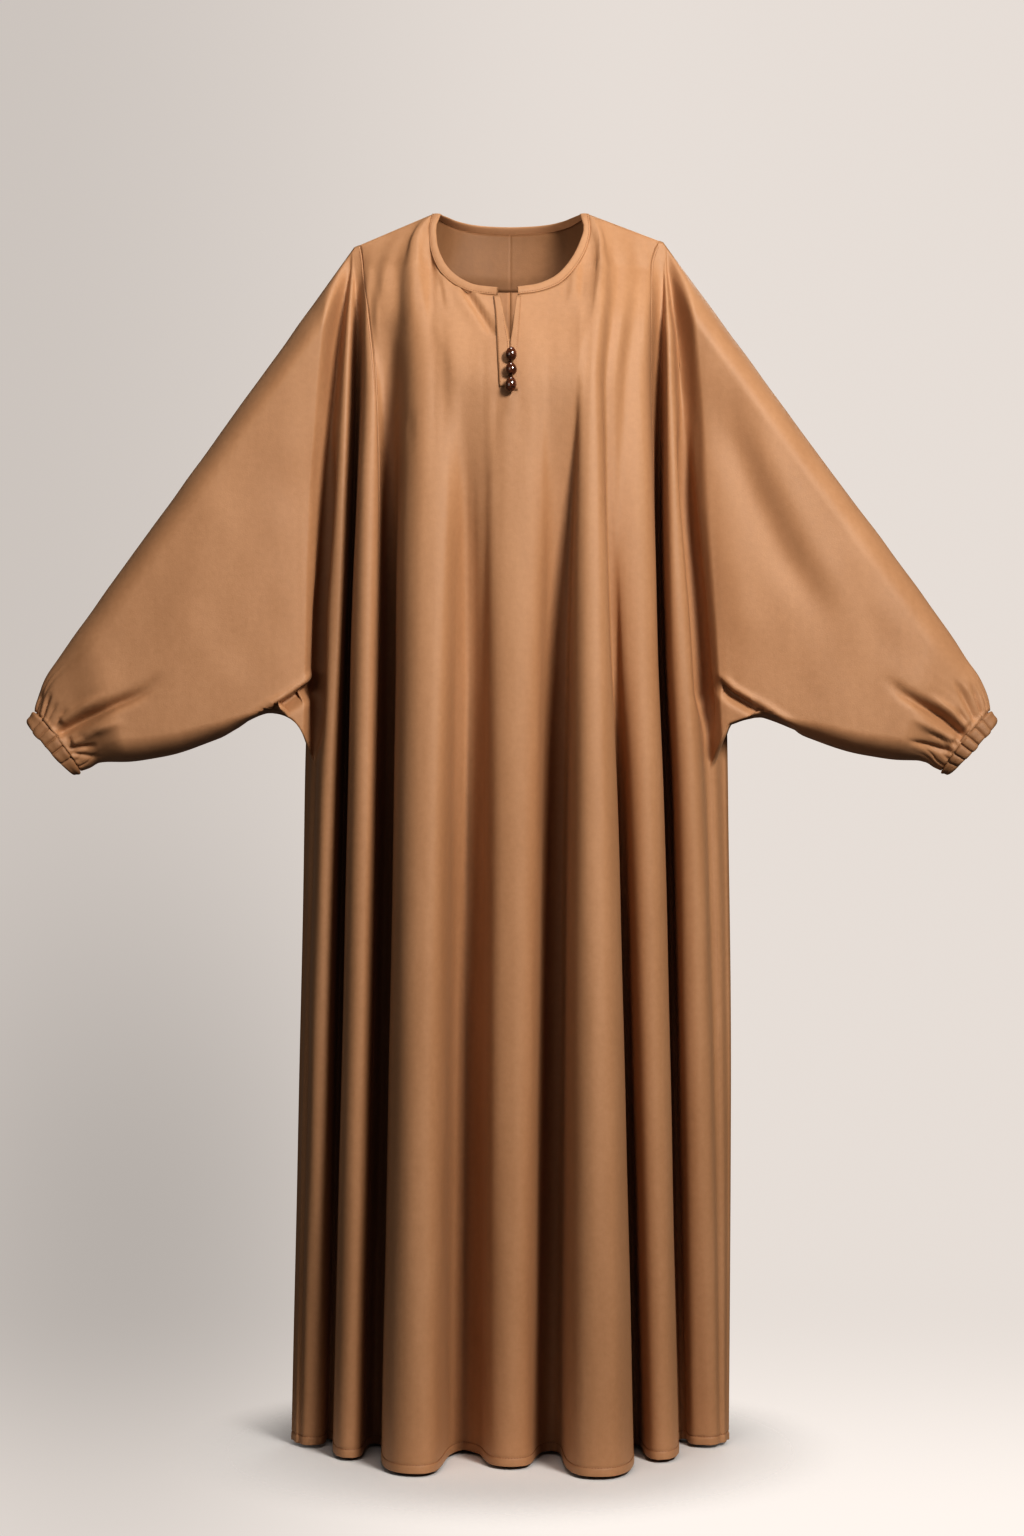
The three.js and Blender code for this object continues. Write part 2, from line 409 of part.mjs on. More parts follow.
// neck binding: from the left of the slit round the back to the right of the slit, seam line and free edge
function bindingRows() {
  const seam = [], edge = [];
  const front = (N, E, from, to) => {
    const at = N.x.map((_, i) => i), n = at.length - 1, us = columns(from, to, STEPS);
    for (const u of us) {
      const k = u < MID ? u : LAST - u, t = neckShare(k) * n;
      seam.push(topEdge(true, u, from === MID ? 1 : -1));
      edge.push(seen(curve(at, E.x, t), curve(at, E.v, t), curve(at, E.y, t)));
    }
  };
  front(NECK_L.seam, NECK_L.edge, NECK, MID);
  seam.reverse(); edge.reverse(); // now from the slit to the left neck point
  const l = { x: NECK_L.edge.x[0], v: NECK_L.edge.v[0], y: 2 }, r = { x: NECK_R.edge.x[0], v: NECK_R.edge.v[0], y: 2 };
  for (const u of columns(NECK, LAST - NECK, STEPS_BACK)) {
    if (u > NECK && u < LAST - NECK) {
      seam.push(topEdge(false, u));
      edge.push(backNeck(NECK_B.edge, (u - NECK) / (LAST - 2 * NECK), l, r));
    }
  }
  const s2 = [], e2 = [];
  const us = columns(MID, LAST - NECK, STEPS), at = NECK_R.edge.x.map((_, i) => i);
  for (const u of us) {
    const t = neckShare(LAST - u) * (at.length - 1);
    s2.push(topEdge(true, u, 1));
    e2.push(seen(curve(at, NECK_R.edge.x, t), curve(at, NECK_R.edge.v, t), curve(at, NECK_R.edge.y, t)));
  }
  s2.reverse(); e2.reverse();
  return [[...edge, ...e2], [...seam, ...s2]];
}
const sheetBinding = grid(bindingRows(), false);

// side panels with their sleeves: front and back of the panel from shoulder to hem, and the sleeve's tube
function sleeveSheet(side) {
  const left = side === "L", quads = [];
  const a = left ? 1 : LAST - PANEL, b = left ? PANEL : LAST - 1;
  quads.push(...grid(up(true, columns(a, b, STEPS), 0), true));
  quads.push(...grid(up(false, columns(a, b, STEPS_BACK), 0), false));
  quads.push(...grid(low(true, columns(left ? 0 : a, left ? b : LAST, STEPS)), true));
  quads.push(...grid(low(false, columns(left ? 0 : a, left ? b : LAST, STEPS_BACK)), false));
  const root = sleeveRoot(side), wf = shares(root.front), wb = shares(root.back);
  const rings = SLEEVE_AT.map((s) => {
    const f = root.front.map((p, i) => (s === 0 ? p : sleevePoint(side, true, p, wf[i], s)));
    const k = root.back.map((p, i) => (s === 0 ? p : sleevePoint(side, false, p, wb[i], s)));
    return [...f, ...k.slice(0, -1).reverse()];
  });
  for (const ring of rings) ring[ring.length - 1] = ring[0];
  quads.push(...grid(rings, !left ? false : true).map((q) => q));
  return { quads, end: rings[rings.length - 1] };
}
const sleeveL = sleeveSheet("L"), sleeveR = sleeveSheet("R");

// cuffs: ruched bands between two ellipses
function cuffSheet(side) {
  const C = CUFF[side], n = CUFF.ribs * 2, rows = [];
  const end = (e) => ({ a: seen(e.x[0], e.v[0], 2), b: seen(e.x[1], e.v[1], 2) });
  const I = end(C.inner), O = end(C.outer), c2 = cuffOut(side), lean = new THREE.Vector3(c2.x, 0, -c2.v);
  for (const [t, swell] of [[0.12, 0], [0.35, 1], [0.72, 1], [1, 0.2]]) {
    const a = I.a.clone().lerp(O.a, t), b = I.b.clone().lerp(O.b, t), c = a.clone().add(b).multiplyScalar(0.5), h = a.clone().sub(c);
    const row = [];
    for (let i = 0; i < n; i++) {
      const th = (2 * Math.PI * i) / n, grow = 1 + ((i % 2 ? -0.5 : 1) * CUFF.ribHeight * swell) / 30;
      const p = c.clone().addScaledVector(h, Math.cos(th) * grow);
      p.y += -Math.sin(th) * CUFF.depth * grow;
      p.addScaledVector(lean, -CUFF.bulge * U * (1 - t) * Math.max(0, Math.sin(th)));
      row.push(p);
    }
    row.push(row[0]);
    rows.push(row);
  }
  return grid(rows, side === "L");
}
const sheetCuff = { L: cuffSheet("L"), R: cuffSheet("R") };

for (const q of [sheetFront, sheetBack.L, sheetBack.R, sheetBinding, sleeveL.quads, sleeveR.quads, sheetCuff.L, sheetCuff.R]) addNormals(q);
// where the sleeve is gathered into the cuff its end stands square to the opening
for (const [side, ring] of [["L", sleeveL.end], ["R", sleeveR.end]]) {
  const c = ring.reduce((s, p) => s.add(p), new THREE.Vector3()).multiplyScalar(1 / ring.length);
  const I = CUFF[side].inner, O = CUFF[side].outer;
  const axis = seen((O.x[0] + O.x[1]) / 2, (O.v[0] + O.v[1]) / 2, 2).sub(seen((I.x[0] + I.x[1]) / 2, (I.v[0] + I.v[1]) / 2, 2)).normalize();
  for (const p of ring) {
    const d = p.clone().sub(c);
    d.addScaledVector(axis, -d.dot(axis));
    normals.set(keyOf(p), d.normalize());
  }
}

// facing inside the back neck: the back panels' own points, moved in
const sheetFacing = grid(up(false, columns(NECK, LAST - NECK, STEPS_BACK), 0).slice(0, SLIT_ROW + 1), false);

// placket strips: points of the front between two lines, moved out
function placketSheet(side) {
  const P = PLACKET[side], left = side === "L", rows = [];
  for (let i = 0; i < P.v.length; i++) {
    const row = [];
    for (let j = 0; j <= 2; j++) {
      const x = mix(P.in[i], P.out[i], j / 2), v = P.v[i];
      row.push(seen(x, v, frontDepth(x, v, left ? -1 : 1)));
    }
    rows.push(row);
  }
  return grid(rows, !left);
}
// depth of the front near the slit at a drawing point: the fold number is searched for on the section
function frontDepth(x, v, slitSide) {
  let lo = slitSide < 0 ? 6.5 : MID, hi = slitSide < 0 ? MID : 9.5, y = -90;
  for (let i = 0; i < 40; i++) {
    const u = (lo + hi) / 2, top = topEdge(true, u, slitSide), foot = underarm(true, u);
    const z = seen(x, v, y).z, p = upper(true, u, clamp((z - top.z) / (foot.z - top.z)), v < SLIT.end ? slitSide : 0);
    y = p.y;
    if (p.x < seen(x, v, y).x) lo = u; else hi = u;
  }
  return y;
}
const sheetPlacket = { L: placketSheet("L"), R: placketSheet("R") };
addNormals(sheetPlacket.L);
addNormals(sheetPlacket.R);

// ---------- the scene ----------
const CAMEL = 0xb0835c, DARK = 0x3a1f14;
const cloth = () => new THREE.MeshStandardMaterial({ color: CAMEL, roughness: 0.55, metalness: 0, side: THREE.DoubleSide });
const abaya = new THREE.Group();
abaya.name = "abaya";
function piece(name, geometry, material = cloth()) {
  const mesh = new THREE.Mesh(geometry, material);
  mesh.name = name;
  abaya.add(mesh);
  return mesh;
}
piece("front", wall(sheetFront, CLOTH, { pull: 0.5 }));
piece("back_left", wall(sheetBack.L, CLOTH));
piece("back_right", wall(sheetBack.R, CLOTH));
piece("sleeve_left", wall(sleeveL.quads, CLOTH, { pull: 0.5 }));
piece("sleeve_right", wall(sleeveR.quads, CLOTH, { pull: 0.5 }));
piece("cuff_left", wall(sheetCuff.L, BAND, { pull: 0.3 }));
piece("cuff_right", wall(sheetCuff.R, BAND, { pull: 0.3 }));
piece("neck_binding", wall(sheetBinding, TAPE, { pull: 0.6 }));
piece("back_neck_facing", wall(sheetFacing, STRIP, { lift: -(CLOTH / 2 + CLEAR + 0.5 + STRIP / 2), pull: SEAM }));
const onFront = CLOTH / 2 + CLEAR + 0.5 + STRIP / 2;
piece("placket_left", wall(sheetPlacket.L, STRIP, { lift: onFront }));
piece("placket_right", wall(sheetPlacket.R, STRIP, { lift: onFront }));
BUTTONS.forEach((b, i) => {
  const g = new THREE.SphereGeometry(1, 14, 10), y = frontDepth(b.x, b.v, 1);
  const mesh = piece("button_" + (i + 1), g, new THREE.MeshStandardMaterial({ color: DARK, roughness: 0.22, metalness: 0 }));
  const out = onFront + STRIP / 2 + CLEAR + 0.8 + BUTTON.ry;
  mesh.rotation.set(Math.PI / 2, 0, 0);
  mesh.position.copy(seen(b.x, b.v, y - out));
  mesh.scale.set(BUTTON.rx, b.half, BUTTON.ry);
  mesh.rotation.order = "YXZ";
  mesh.rotation.y = THREE.MathUtils.degToRad(b.lean);
});

export default abaya;
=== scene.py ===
"""Abaya in satin crepe: the looks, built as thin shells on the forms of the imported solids.

All sizes are in millimetres while a shape is worked out, and in metres in Blender.
Places across the front are drawing units of the front elevation, U mm each, as in the part's tables.
"""

import math

import bpy
import numpy as np
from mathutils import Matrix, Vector


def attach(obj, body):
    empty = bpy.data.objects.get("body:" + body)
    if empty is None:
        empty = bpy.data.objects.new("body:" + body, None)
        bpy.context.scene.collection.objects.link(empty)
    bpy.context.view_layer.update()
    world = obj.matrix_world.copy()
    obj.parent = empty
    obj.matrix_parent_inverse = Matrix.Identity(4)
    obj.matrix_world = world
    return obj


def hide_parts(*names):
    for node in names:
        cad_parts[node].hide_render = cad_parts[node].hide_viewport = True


LOOK = "High Contrast"
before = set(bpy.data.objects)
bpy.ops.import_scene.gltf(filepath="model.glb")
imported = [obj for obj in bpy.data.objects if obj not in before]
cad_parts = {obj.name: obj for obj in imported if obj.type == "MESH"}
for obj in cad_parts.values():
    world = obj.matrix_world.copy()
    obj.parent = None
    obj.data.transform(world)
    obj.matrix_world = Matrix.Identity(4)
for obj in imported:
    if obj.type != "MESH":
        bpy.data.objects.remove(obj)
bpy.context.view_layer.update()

# ---------------------------------------------------------------- sizes and fold tables
U = 1.156
MID_X, MID_V, TOP_V = 512.0, 768.0, 213.0
EYE = (2.3, -3600.0, -641.6)
HEM_Z = -1422.0
SHELL = 0.9  # thickness shown, mm
STATION = np.array([270, 330, 400, 500, 650, 800, 1100, 1450.0])
SIDE_L = ("side L", [308, 308, 308, 308, 308, 305, 299.5, 291.5], [28, 28, 28, 28, 28, 26, 22, 20], 0.5, 0.5)
SIDE_R = ("side R", [726, 726, 726, 726, 726, 728, 731, 728.5], [28, 28, 28, 28, 28, 26, 22, 20], 0.5, 0.5)
# name, x at each station, depth at each station, leave, meet
FRONT = [
    SIDE_L,
    ("hollow by sleeve L", [349, 341, 334, 325, 318.5, 313, 304.5, 297], [-6, -10, -13, -15, -12, -2, 3, 2], 0.4, 0.9),
    ("ridge A", [352, 348.5, 345.5, 342, 335.5, 328, 320, 312], [-12, -32, -44, -52, -54, -48, -32, -10], 1.15, 0.5),
    ("gap AB", [356.5, 357.5, 356.5, 353.4, 348, 344.7, 337.5, 329], [-10, -18, -14, -7, 6, 16, 22, 24], 0.5, 1.15),
    ("ridge B", [363, 367.5, 369, 366.5, 364.5, 362.5, 357, 349.5], [-22, -56, -74, -86, -92, -92, -86, -78], 0.9, 0.6),
    ("gap BC", [379, 381, 386, 389, 389, 387, 381.5, 374.5], [-32, -62, -66, -52, -32, -20, -6, 0], 0.5, 1.25),
    ("ridge C", [418, 425, 429, 431, 429, 426, 421.5, 417], [-52, -92, -115, -130, -141, -148, -155, -158], 0.8, 0.65),
    ("hollow CD", [462, 465, 467, 469, 470, 469, 466, 464], [-70, -102, -119, -115, -98, -82, -60, -44], 0.65, 0.85),
    ("ridge D", [509.7, 509.7, 510.4, 511.5, 512.5, 513, 512.5, 512], [-78, -106, -121, -126, -127, -127, -125, -122], 0.85, 0.65),
    ("hollow DE", [566, 570, 572, 570, 565, 562, 557, 551.5], [-68, -102, -118, -106, -82, -64, -50, -40], 0.5, 1.15),
    ("ridge E", [600, 594, 590, 590, 591, 592, 596, 600], [-54, -96, -120, -134, -147, -156, -165, -172], 1.35, 0.4),
    ("hollow EF", [622, 615, 608, 608, 613, 620, 628, 636.5], [-38, -76, -93, -94, -78, -50, -20, -8], 0.5, 1.05),
    ("ridge F", [650, 641, 636, 637.5, 641, 645, 652, 660.5], [-22, -58, -76, -88, -92, -93, -92, -88], 1.2, 0.5),
    ("gap FG", [663, 662, 660, 659, 661.5, 668, 675, 682.5], [-10, -18, -12, -5, 6, 16, 22, 24], 0.45, 1.2),
    ("ridge G", [666, 668, 669.5, 672, 680, 690, 698.5, 708], [-12, -32, -44, -52, -54, -48, -32, -10], 0.9, 0.5),
    ("hollow by sleeve R", [669, 675.5, 682, 690, 702, 711, 719.5, 723.5], [-6, -10, -13, -15, -10, -1, 4, 3], 0.5, 0.5),
    SIDE_R,
]
BACK = [
    SIDE_L,
    ("hollow by sleeve L", [349, 342, 336, 329, 323, 317, 309, 302], [10, 18, 24, 28, 34, 40, 40, 38], 0.45, 0.85),
    ("ridge a", [352, 349, 346, 343, 339, 334, 327, 318], [14, 34, 50, 64, 72, 76, 74, 70], 0.9, 0.6),
    ("gap ab", [356.5, 357.5, 357.5, 357, 354, 350.5, 346, 339], [12, 28, 36, 38, 38, 38, 38, 38], 0.5, 1.0),
    ("ridge b", [366, 373, 378, 380, 380, 377, 371, 364], [24, 60, 86, 100, 108, 110, 108, 104], 1.0, 0.6),
    ("gap bc", [384, 393, 400, 404, 405, 403, 399, 394], [32, 70, 88, 88, 78, 66, 52, 40], 0.6, 0.9),
    ("ridge c", [422, 429, 433, 434, 435, 434, 432, 429], [50, 88, 112, 126, 135, 140, 144, 148], 0.9, 0.6),
    ("hollow cd", [458, 464, 467, 469, 470, 471, 470, 468], [62, 93, 110, 115, 110, 102, 86, 72], 0.6, 0.75),
    ("centre back", [510] * 8, [66, 94, 112, 122, 127, 129, 128, 126], 0.7, 0.65),
    ("hollow de", [556, 553, 552, 552, 551, 550, 552, 555], [60, 91, 108, 112, 105, 94, 78, 62], 0.65, 0.8),
    ("ridge e", [600, 592, 588, 586, 586, 588, 592, 596], [48, 88, 113, 128, 138, 145, 150, 154], 1.0, 0.55),
    ("gap ef", [632, 624, 618, 615, 615, 618, 624, 631], [34, 70, 86, 84, 72, 58, 42, 30], 0.55, 0.95),
    ("ridge f", [648, 642, 639, 639, 642, 648, 655, 662], [22, 58, 84, 98, 105, 106, 102, 98], 1.0, 0.6),
    ("gap fg", [663.5, 662, 660.5, 661, 664.5, 671, 678, 685], [12, 28, 36, 38, 38, 38, 37, 36], 0.5, 1.0),
    ("ridge g", [666, 669, 672, 675.5, 683, 693, 701, 709.5], [14, 34, 50, 64, 73, 78, 74, 66], 0.9, 0.5),
    ("hollow by sleeve R", [669, 676, 683, 691, 703, 712.5, 720.5, 723.5], [10, 18, 24, 28, 34, 40, 40, 38], 0.5, 0.5),
    SIDE_R,
]
LAST, ARM, NECK, MID, PANEL = 16, 3, 6, 8, 4
# fold number that the seam between side panel and middle panel follows, at shares of the way down to the underarm line
PANEL_SEAM = ([0, 0.07, 0.14, 0.24, 0.5, 1], [3.2, 3.55, 4, 4.25, 4.45, 4.5], [12.85, 12.35, 12.4, 12.54, 12.7, 12.7])
UNDERARM = np.array([734, 764, 776, 790, 797, 800, 800, 800, 800, 800, 800, 800, 797, 790, 780, 769, 732.0])
SHOULDER = {"L": ((432.5, 214.2, 2), (354.5, 247.5, 6)), "R": ((588.5, 214.2, 2), (663, 242.5, 6))}
NECK_LINE = {
    "L": {
        "seam": ([432.5, 429.2, 430.2, 438.8, 457.5, 475.2, 497.8], [214.2, 229, 246, 269.5, 286, 292.6, 295], [2, -9, -22, -44, -63, -71, -76]),
        "edge": ([441, 436.2, 437.2, 445.5, 462, 477.3, 498.2], [214.4, 228, 243, 264, 279, 285, 287.2], [2, -8, -20, -40, -58, -66, -72]),
    },
    "R": {
        "seam": ([588.5, 590.2, 586.9, 575.6, 558, 537, 518.2], [214.2, 229, 246, 267, 284, 291.5, 294], [2, -9, -22, -42, -61, -71, -76]),
        "edge": ([580, 583.6, 579.4, 569.5, 554, 535.2, 517.6], [214.4, 228, 242.5, 261, 276.5, 284, 286.4], [2, -8, -20, -38, -56, -66, -72]),
    },
}
NECK_BACK = {
    "seam": ([2, 25, 50, 64, 69.5, 71, 69.5, 64, 50, 25, 2], [-1.3, -4.5, -8.5, -11.5, -13.3, -14, -13.3, -11.5, -8.5, -4.5, -1.3]),
    "edge": ([2, 19, 41, 55, 61, 62.5, 61, 55, 41, 19, 2], [-1.6, -1.8, -3, -4.5, -5.4, -5.8, -5.4, -4.5, -3, -1.8, -1.6]),
}
SLIT_V = [295, 312, 330, 345.4]
SLIT_SHIFT = {-1: [-11.9, -6.8, -3.4, 0], 1: [8.5, 5.2, 2.5, 0]}
SLIT_END, SLIT_R = 345.4, 0.0998
SLEEVE = {
    "L": {
        "top": ([350.6, 204.3, 58, 45, 36, 34.4], [253, 456.5, 660, 680, 704, 711.5]),
        "low": ([308, 303, 297.5, 290, 281, 266, 235, 220, 160, 127, 110, 100, 90, 80.5], [734, 724, 715.5, 710.8, 709.6, 713, 729.5, 738, 757, 761.3, 761.8, 763, 768, 771]),
    },
    "R": {
        "top": ([666.6, 810, 954, 967, 980, 988.5, 990.4], [247.6, 444, 640, 660, 679, 700, 710.5]),
        "low": ([726, 727.5, 733, 737.5, 745, 756, 767, 809, 865, 900, 916, 926, 934, 941.5], [732, 729.5, 719, 709.5, 711.2, 714.6, 718.6, 738, 755, 759.8, 760, 762, 767, 770.5]),
    },
}
RISE = {True: 0.08, False: 0.2}  # share of the sleeve over which its front and back sheets rise out of the hollow
FILL_S = [0, 0.2, 0.5, 0.8, 0.93, 1]
FILL = {"arm": [44, 46, 44, 38, 32, 27], "front": [30, 42, 46, 44, 36, 27], "back": [34, 44, 48, 46, 37, 27], "foot": [18, 20, 24, 28, 27, 26]}
CUFF = {
    "L": (((34.4, 712.2), (80.5, 771.5)), ((27.4, 722.6), (72.2, 774.2))),
    "R": (((990.4, 711.2), (941.5, 771.0)), ((996.6, 721.4), (950.2, 773.0))),
}
CUFF_DEPTH, CUFF_BULGE = 27.0, 4.5
PLACKET = {
    "L": ([296.5, 312, 330, 345.4, 366, 387], [493.6, 495.4, 496.6, 497.2, 498.3, 499.4], [499.6, 503.4, 506.6, 509.5, 509.7, 509.7]),
    "R": ([296.5, 312, 330, 345.4, 366, 390], [521, 520, 518.6, 517.6, 517.6, 517.8], [516.8, 514.4, 512.2, 510.1, 510.3, 510.3]),
}
BUTTONS = [(511, 353.9, 8.1, 4), (511.1, 368.7, 7.4, -6), (510.7, 384.2, 8.7, 7)]
BUTTON_R = (6.4, 5.6)


# ---------------------------------------------------------------- small tools
def mix(a, b, t):
    return a + (b - a) * t


def smooth(t):
    t = np.clip(t, 0, 1)
    return t * t * (3 - 2 * t)


def curve(xs, ys, x):
    """Smooth line through ys at xs without overshoot, for an array of x."""
    xs, ys = np.asarray(xs, float), np.asarray(ys, float)
    x = np.clip(np.asarray(x, float), xs[0], xs[-1])
    sl = np.diff(ys) / np.diff(xs)
    tan = np.empty_like(ys)
    tan[0], tan[-1] = sl[0], sl[-1]
    a, b = sl[:-1], sl[1:]
    with np.errstate(divide="ignore", invalid="ignore"):
        tan[1:-1] = np.where(a * b <= 0, 0, 2 * a * b / np.where(a + b == 0, 1, a + b))
    i = np.clip(np.searchsorted(xs, x, side="right") - 1, 0, len(xs) - 2)
    h = (xs[1:] - xs[:-1])[i]
    t = (x - xs[i]) / h
    t2, t3 = t * t, t * t * t
    return (2 * t3 - 3 * t2 + 1) * ys[i] + (t3 - 2 * t2 + t) * h * tan[i] + (3 * t2 - 2 * t3) * ys[i + 1] + (t3 - t2) * h * tan[i + 1]


def seen(x, v, y):
    s = (np.asarray(y, float) - EYE[1]) / -EYE[1]
    return np.stack([EYE[0] + (x - MID_X) * U * s, np.broadcast_to(y, np.shape(s * (x + v))) * 1.0, EYE[2] - (v - MID_V) * U * s], -1)


def drawn(p):
    """Drawing place of points (…, 3)."""
    s = (p[..., 1] - EYE[1]) / -EYE[1]
    return (p[..., 0] - EYE[0]) / U / s + MID_X, (EYE[2] - p[..., 2]) / U / s + MID_V


def height_of(z):
    return TOP_V - z / U


def along(line, s):
    x, v = np.array(line[0], float), np.array(line[1], float)
    cum = np.concatenate([[0], np.cumsum(np.hypot(np.diff(x), np.diff(v)))])
    d = np.asarray(s) * cum[-1]
    return curve(cum, x, d), curve(cum, v, d)


# ---------------------------------------------------------------- the body's surface
def fold_point(fold, v):
    y = curve(STATION, fold[2], v)
    x = curve(STATION, fold[1], v)
    return EYE[0] + (x - MID_X) * U * (y - EYE[1]) / -EYE[1], y


def section(table, u, v):
    """x and y at fold numbers u (columns) and drawing heights v (rows by columns)."""
    u, v = np.broadcast_arrays(np.asarray(u, float), np.asarray(v, float))
    X, Y = np.zeros(v.shape), np.zeros(v.shape)
    iu = np.minimum(LAST - 1, np.floor(u + 1e-9).astype(int))
    for i in range(LAST):
        m = iu == i
        if not m.any():
            continue
        vv, t = v[m], np.clip(u[m] - i, 0, 1)
        ax, ay = fold_point(table[i], vv)
        bx, by = fold_point(table[i + 1], vv)
        full = smooth((vv - 250) / 350)
        ha, hb = mix(0.5, table[i][3], full), mix(0.5, table[i][4], full)
        dx, w = bx - ax, 1 - t
        X[m] = w**3 * ax + 3 * w * w * t * (ax + ha * dx) + 3 * w * t * t * (bx - hb * dx) + t**3 * bx
        Y[m] = w**3 * ay + 3 * w * w * t * ay + 3 * w * t * t * by + t**3 * by
    return X, Y


def neck_share(k):
    return np.clip((k - NECK) / (MID - NECK), 0, 1) ** 0.53


def back_neck(line, t, l, r):
    n = len(line[0]) - 1
    a, b = seen(*l), seen(*r)
    c = (1 - math.cos(math.pi * t)) / 2
    x = mix(a[0], b[0], mix(t, c, 0.75))
    at = np.arange(n + 1)
    return np.array([x, float(curve(at, line[0], t * n)), float(curve(at, line[1], t * n))])


def top_edge(is_front, u, slit=0):
    left = u < MID or (u == MID and slit < 0)
    side = "L" if left else "R"
    neck, tip = SHOULDER[side]
    k = u if left else LAST - u
    if k <= ARM + 1e-9:
        over, top = (ARM - k) / (ARM - 1), SLEEVE[side]["top"]
        return seen(mix(tip[0], top[0][0], over), mix(tip[1], top[1][0], over), tip[2])
    if k <= NECK + 1e-9:
        t = (k - ARM) / (NECK - ARM)
        return seen(mix(tip[0], neck[0], t), mix(tip[1], neck[1], t), mix(tip[2], neck[2], t))
    if is_front:
        N = NECK_LINE[side]["seam"]
        t, at = neck_share(k) * (len(N[0]) - 1), np.arange(len(N[0]))
        return seen(float(curve(at, N[0], t)), float(curve(at, N[1], t)), float(curve(at, N[2], t)))
    return back_neck(NECK_BACK["seam"], (u - NECK) / (LAST - 2 * NECK), SHOULDER["L"][0], SHOULDER["R"][0])


def underarm(is_front, u):
    u = np.asarray(u, float)
    v = curve(np.arange(LAST + 1), UNDERARM, u)
    x, y = section(FRONT if is_front else BACK, u, v)
    return np.stack([x, y, (TOP_V - v) * U], -1)


def warp(u, r):
    """Fold numbers of columns u at shares r of the way down: the panel columns follow the panel seams."""
    u, r = np.broadcast_arrays(np.asarray(u, float), np.asarray(r, float))
    left = u < MID
    c = np.where(left, PANEL, LAST - PANEL)
    at = np.where(left, curve(PANEL_SEAM[0], PANEL_SEAM[1], r), curve(PANEL_SEAM[0], PANEL_SEAM[2], r))
    w = np.where(u <= c, c - 1 + (u - c + 1) * (at - c + 1), at + (u - c) * (c + 1 - at))
    return np.where(np.abs(u - c) >= 1, u, w)


def top_points(is_front, u, slit):
    T = np.zeros(u.shape + (3,))
    k = np.where(u < MID, u, LAST - u)
    line = (k > ARM) & (k <= NECK)
    for side, m in (("L", line & (u < MID)), ("R", line & (u > MID))):
        neck, tip = SHOULDER[side]
        t = (k[m] - ARM) / (NECK - ARM)
        T[m] = seen(mix(tip[0], neck[0], t), mix(tip[1], neck[1], t), mix(tip[2], neck[2], t))
    for val in np.unique(u[~line]):
        T[u == val] = top_edge(is_front, float(val), slit)
    return T


def slit_shift(u, v, slit):
    if slit == 0:
        return np.zeros(np.broadcast(u, v).shape)
    near = np.clip(1 - np.abs(u - MID), 0, 1)
    return np.where(v < SLIT_END, near * curve(SLIT_V, SLIT_SHIFT[slit], v) * U, 0)


def upper(is_front, us, rs, slit=0):
    """Points (rows, columns, 3) between the upper edge and the underarm line."""
    rs = np.asarray(rs, float)[:, None]
    u = warp(np.asarray(us, float)[None], rs)
    table = FRONT if is_front else BACK
    top, foot = top_points(is_front, u, slit), underarm(is_front, u)
    z = top[..., 2] + (foot[..., 2] - top[..., 2]) * rs
    v, v_top = height_of(z), height_of(top[..., 2])
    px, py = section(table, u, v)
    qx, qy = section(table, u, v_top)
    at_neck = smooth(1 - np.abs(np.minimum(u, LAST - u) - NECK) / 0.6) * (1.0 if is_front else 0.0)
    fade = (1 - np.clip((v - v_top) / 105, 0, 1)) ** 2
    fade_x = mix(fade, (1 - np.clip((v - v_top) / 30, 0, 1)) ** 2, at_neck)
    s = slit if is_front else 0
    shift, shift_top = slit_shift(u, v, s), slit_shift(u, v_top, s)
    return np.stack([px + shift + (top[..., 0] - qx - shift_top) * fade_x, py + (top[..., 1] - qy) * fade, z], -1)


def lower(is_front, us, rs):
    us, rs = warp(us, 1.0), np.asarray(rs, float)
    top = underarm(is_front, us)
    z = top[None, :, 2] + (HEM_Z - top[:, 2])[None] * rs[:, None]
    x, y = section(FRONT if is_front else BACK, us[None], height_of(z))
    return np.stack([x, y, z], -1)


# ---------------------------------------------------------------- the sleeve's surface
def cuff_out(side):
    """Direction across the elevation from the cuff's inner edge to its outer one."""
    (a, b), (c, d) = CUFF[side]
    x, v = (c[0] + d[0] - a[0] - b[0]) / 2, (c[1] + d[1] - a[1] - b[1]) / 2
    return x / math.hypot(x, v), v / math.hypot(x, v)


